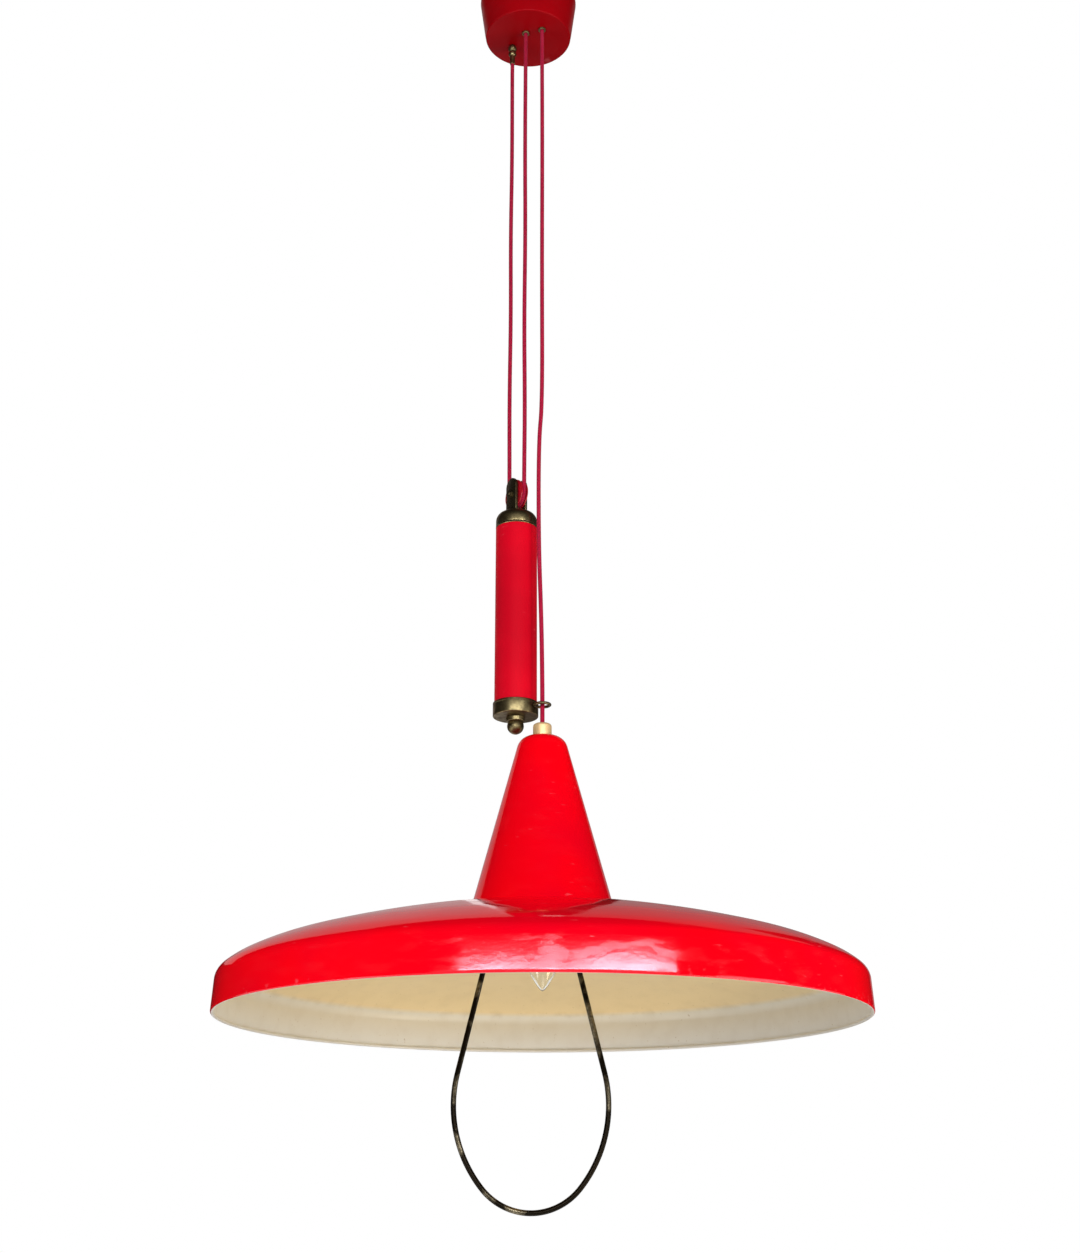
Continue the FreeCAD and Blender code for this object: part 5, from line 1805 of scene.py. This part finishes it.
@dataclass
class PullLoop:
    """The bent wire loop that hangs from two ears and pulls the lamp down."""

    finishes: Finishes
    wire: float = 2.5
    pivot: float = 121.0
    foot: float = 21.4
    leg: float = 31.0
    elbow: float = 6.0
    knee_rise: float = 52.0
    knee_radius: float = 60.0
    left: float = 10.4
    half_width: float = 70.0
    half_height: float = 93.0
    centre_drop: float = 74.0
    end_radius: float = 57.0
    lean: float = 13.7

    def build(self) -> None:
        """Bends the wire."""
        line = [(LAMP + spot) * MM for spot in self._line()]
        loop = Tubing("pull_loop", line, self.wire * MM, sides=20).build(self.finishes.wire)
        settle(loop, "handle", "aged_brass", "handle_loop")

    def _line(self) -> list[Vector]:
        """The loop's centre line from one foot to the other, in millimetres from the rim.

        Returns:
            The line's points.
        """
        end, drop = self.end_radius, self.half_height - self.end_radius
        side = (self.half_width**2 + drop**2 - end**2) / (2 * (self.half_width - end))
        hub = self.half_width - side
        lean = math.radians(self.lean)
        join = math.atan2(drop, -hub)
        right = self._leg(1, side, hub, lean, join)
        left = self._leg(-1, side, hub, lean, join)
        low = -self.centre_drop - drop
        reach = math.pi / 2 - join
        turns = [reach * (1 - i / 24) for i in range(1, 48)]
        bottom = [
            Vector((-self.left + end * math.sin(a), 0, low - end * math.cos(a))) for a in turns
        ]
        return right + bottom + list(reversed(left))

    def _leg(self, sign: int, side: float, hub: float, lean: float, join: float) -> list[Vector]:
        """One foot, elbow, knee, leg and the side of the oval down to its round end.

        Args:
            sign: Which side: 1 or -1.
            side: The radius of the oval's side.
            hub: How far the side's centre lies past the middle.
            lean: The leg's lean from upright.
            join: The angle where the side meets the round end.

        Returns:
            The line's points, from the foot down.
        """
        middle = Vector((sign * hub - self.left, 0, -self.centre_drop))

        def on_side(angle: float) -> Vector:
            """The point of the oval's side at an angle below the level."""
            return middle + Vector((sign * side * math.cos(angle), 0, side * math.sin(angle)))

        touch = on_side(lean)
        run = (self.knee_rise - touch.z) * math.tan(lean)
        corners = [
            Vector((sign * self.foot, 0, self.pivot)),
            Vector((sign * self.leg, 0, self.pivot)),
            Vector((touch.x - sign * run, 0, self.knee_rise)),
            touch,
        ]
        line = rounded_line(corners, (self.elbow, self.knee_radius), 4.0)
        line += [on_side(lean - (lean + join) * i / 32) for i in range(1, 33)]
        return line


# ---- studio ------------------------------------------------------------------------------


class Cloth(Enum):
    """How dark a flag or scrim looks in the enamel."""

    BLACK = "#1c1617"
    GREY = "#8c8080"
    PALE = "#b4a8a8"


@dataclass
class Studio:
    """Even white surround, flags and scrims, soft boxes and the camera that took the photo."""

    eye: tuple[float, float, float] = (0.0137, -1.5594, -1.3434)
    pitch_deg: float = 20.07
    focal_px: float = 1647.0
    frame_px: tuple[int, int] = (1080, 1253)
    sensor_mm: float = 36.0
    fill: float = 0.7
    fill_below: float = 0.4
    fill_above: float = 0.26
    fill_behind: float = 0.65
    floor_size: tuple[float, float] = (3.2, 3.2)
    floor_spot: tuple[float, float, float] = (0.0, 0.0, -3.4)
    floor_bounce: float = 0.2
    aim: tuple[float, float, float] = (0.0, -0.1, -1.08)
    daylight: tuple[float, float, float] = (0.94, 0.97, 1.0)
    warm_bounce: tuple[float, float, float] = (1.0, 0.86, 0.62)

    def camera(self) -> None:
        """Places the camera at the photograph's viewpoint."""
        scene = bpy.context.scene
        data = bpy.data.cameras.new("photo_camera")
        data.sensor_width = self.sensor_mm
        data.lens = self.focal_px / max(self.frame_px) * self.sensor_mm
        data.clip_start = 0.02
        camera = bpy.data.objects.new("photo_camera", data)
        camera.location = self.eye
        camera.rotation_euler = (math.radians(90 + self.pitch_deg), 0, 0)
        scene.collection.objects.link(camera)
        scene.camera = camera
        scene.view_settings.view_transform = "Standard"

    @staticmethod
    def _level(tree: bpy.types.NodeTree, matt: Any) -> bpy.types.Node:
        """White to the eye, to gloss and to glass, and a softer light on matt paint.

        Args:
            tree: The nodes that the level joins.
            matt: The level that falls on matt paint.

        Returns:
            The node that holds the level.
        """
        path = add_node(tree, "LightPath").outputs
        seen: Any = path["Is Camera Ray"]
        for ray in ("Is Transmission Ray", "Is Glossy Ray"):
            seen = add_node(tree, "Math", {0: seen, 1: path[ray]}, operation="MAXIMUM")
        return add_node(tree, "Mix", {0: seen, 2: matt, 3: 1.0}, data_type="FLOAT")

    @staticmethod
    def _board(
        name: str, size: tuple[float, float], place: Matrix, material: bpy.types.Material
    ) -> bpy.types.Object:
        """A flat board for the studio, staged so that it is no part of the lamp.

        Args:
            name: Its name.
            size: Its two sides.
            place: Where it stands and how it is turned.
            material: What it is covered with.

        Returns:
            The board.
        """
        form = bmesh.new()
        spread = place @ Matrix.Diagonal((*size, 1, 1))
        bmesh.ops.create_grid(form, x_segments=1, y_segments=1, size=0.5, matrix=spread)
        mesh = bpy.data.meshes.new(name)
        form.to_mesh(mesh)
        form.free()
        board = finished(mesh, material)
        board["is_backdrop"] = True
        return board

    @staticmethod
    def _glowing(name: str) -> tuple[bpy.types.Material, bpy.types.Node]:
        """A covering of even brightness, with the node that sets it.

        Args:
            name: The covering's name.

        Returns:
            The material and its glow.
        """
        material = bpy.data.materials.new(name)
        material.use_nodes = True
        tree = material.node_tree
        glow = add_node(tree, "Emission")
        feed(tree.nodes["Material Output"], {"Surface": glow})
        return material, glow

    def surround(self) -> None:
        """White for the eye, for gloss and for glass; a softer level on matt surfaces."""
        world = bpy.data.worlds.new("white_surround")
        world.use_nodes = True
        bpy.context.scene.world = world
        tree = world.node_tree
        looking = add_node(tree, "TexCoord").outputs["Generated"]
        towards = add_node(tree, "SeparateXYZ", {0: looking}).outputs
        soft: Any = 1.0
        for axis, low, high, first, last in (
            ("Z", 0.0, 0.75, self.fill, self.fill_above),
            ("Z", -0.8, 0.0, self.fill_below, 1.0),
            ("Y", -0.9, 0.6, 1.0, self.fill_behind),
        ):
            ends = {"From Min": low, "From Max": high, "To Min": first, "To Max": last}
            share = add_node(tree, "MapRange", {"Value": towards[axis], **ends})
            soft = add_node(tree, "Math", {0: soft, 1: share}, operation="MULTIPLY")
        level = self._level(tree, soft)
        feed(tree.nodes["Background"], {"Color": "#ffffff", "Strength": level})

    def floor(self) -> None:
        """A plain pale floor, as far down as under a stair well, clear of a view from below."""
        paint, glow = self._glowing("pale_floor_paint")
        level = self._level(paint.node_tree, self.floor_bounce)
        feed(glow, {"Color": "#ffffff", "Strength": level})
        self._board("pale_floor", self.floor_size, Matrix.Translation(self.floor_spot), paint)

    def flags(self) -> None:
        """Cloth flags and grey scrims that only gloss sees: they shape its reflections."""
        covers = {}
        for cloth in Cloth:
            covers[cloth], glow = self._glowing(f"flag_cloth_{cloth.name.lower()}")
            feed(glow, {"Color": cloth.value, "Strength": 1.0})
        for name, spot, size, yaw, tilt, cloth in (
            ("back_flag", (0.03, 1.6, -0.4), (0.3, 3.6), 0, 90, Cloth.BLACK),
            ("left_back_scrim", (-1.35, 1.7, 0.75), (2.4, 3.5), 0, 90, Cloth.PALE),
            ("right_back_scrim", (1.28, 1.7, 0.2), (2.25, 4.4), 0, 90, Cloth.GREY),
            ("low_left_flag", (-1.5, 1.6, -1.41), (1.6, 1.58), 0, 90, Cloth.BLACK),
            ("right_back_flag", (1.9, 1.6, -0.8), (1.9, 2.8), 0, 90, Cloth.BLACK),
            ("left_flag", (-2.1, 0.3, 0.1), (2.9, 3.4), 90, 90, Cloth.BLACK),
            ("right_flag", (2.3, 0.3, 0.1), (2.9, 3.4), 90, 90, Cloth.BLACK),
            ("front_flag", (0.0, -2.6, 1.05), (4.6, 3.1), 0, 90, Cloth.BLACK),
            ("front_left_flag", (-2.3, -1.75, 0.6), (2.0, 4.0), -54, 90, Cloth.BLACK),
            ("front_right_flag", (2.4, -1.75, 0.6), (2.1, 4.0), 54, 90, Cloth.BLACK),
            ("ceiling_flag", (0.0, -0.6, 1.1), (4.4, 3.6), 0, 0, Cloth.BLACK),
        ):
            turned = Matrix.Rotation(math.radians(yaw), 4, "Z")
            raised = Matrix.Rotation(math.radians(tilt), 4, "X")
            place = Matrix.Translation(spot) @ turned @ raised
            flag = self._board(name, size, place, covers[cloth])
            flag.visible_camera = False
            flag.visible_diffuse = False
            flag.visible_shadow = False
            flag.visible_transmission = False

    def lights(self) -> None:
        """Two long windows in front, dim boxes round the sides and back, and bounce from below."""
        unseen = ("left_box", "back_box")
        for name, spot, (width, height), watts, tint in (
            ("window_left", (-0.41, -2.26, -0.683), (1.2, 0.12), 18.0, self.daylight),
            ("window_right", (0.84, -2.1, -0.683), (1.6, 0.12), 23.0, self.daylight),
            ("back_box", (0.0, 2.2, -0.5), (1.8, 1.2), 14.0, self.daylight),
            ("left_box", (-2.0, -0.9, -1.0), (1.6, 1.2), 6.0, self.daylight),
            ("right_box", (2.0, -0.8, -1.3), (1.0, 1.0), 11.0, self.daylight),
            ("right_bounce", (1.15, -0.5, -1.9), (0.6, 0.6), 9.0, self.warm_bounce),
            ("left_bounce", (-1.1, -0.6, -1.95), (0.6, 0.6), 6.0, self.daylight),
            ("under_bounce", (0.12, -0.3, -2.2), (0.7, 0.7), 3.2, self.daylight),
        ):
            data = bpy.data.lights.new(name, "AREA")
            data.shape = "RECTANGLE"
            data.size = width
            data.size_y = height
            data.energy = watts
            data.color = tint
            lamp = bpy.data.objects.new(name, data)
            lamp.location = spot
            facing = (Vector(self.aim) - Vector(spot)).to_track_quat("-Z", "Y")
            lamp.rotation_euler = facing.to_euler()
            lamp.visible_glossy = name not in unseen
            bpy.context.scene.collection.objects.link(lamp)


def write_sizes(solids: Any, looks: Any) -> None:
    """Sets the box of the solids and that of the dressed lamp side by side; nothing keeps them.

    Args:
        solids: The box straight after loading.
        looks: The box at the end.
    """
    plain = {
        name: [[float(c) for c in corner] for corner in box]
        for name, box in (("cad", solids), ("visual", looks))
    }


def main() -> None:
    """Builds the looks in order: camera, cords, then each sub-assembly."""
    logging.basicConfig(level=logging.INFO, format="%(name)s: %(message)s")
    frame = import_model()
    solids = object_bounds()
    frame_nodes.update(frame["nodes"])
    studio = Studio()
    studio.camera()
    finishes = Finishes()
    for assembly in (Flex, Canopy, Counterweight, Shade, Lampholder, PullLoop):
        assembly(finishes).build()
        log.info("%s done", assembly.__name__)
    studio.surround()
    studio.floor()
    studio.flags()
    studio.lights()
    write_sizes(solids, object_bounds())


if __name__ == "__main__":
    main()
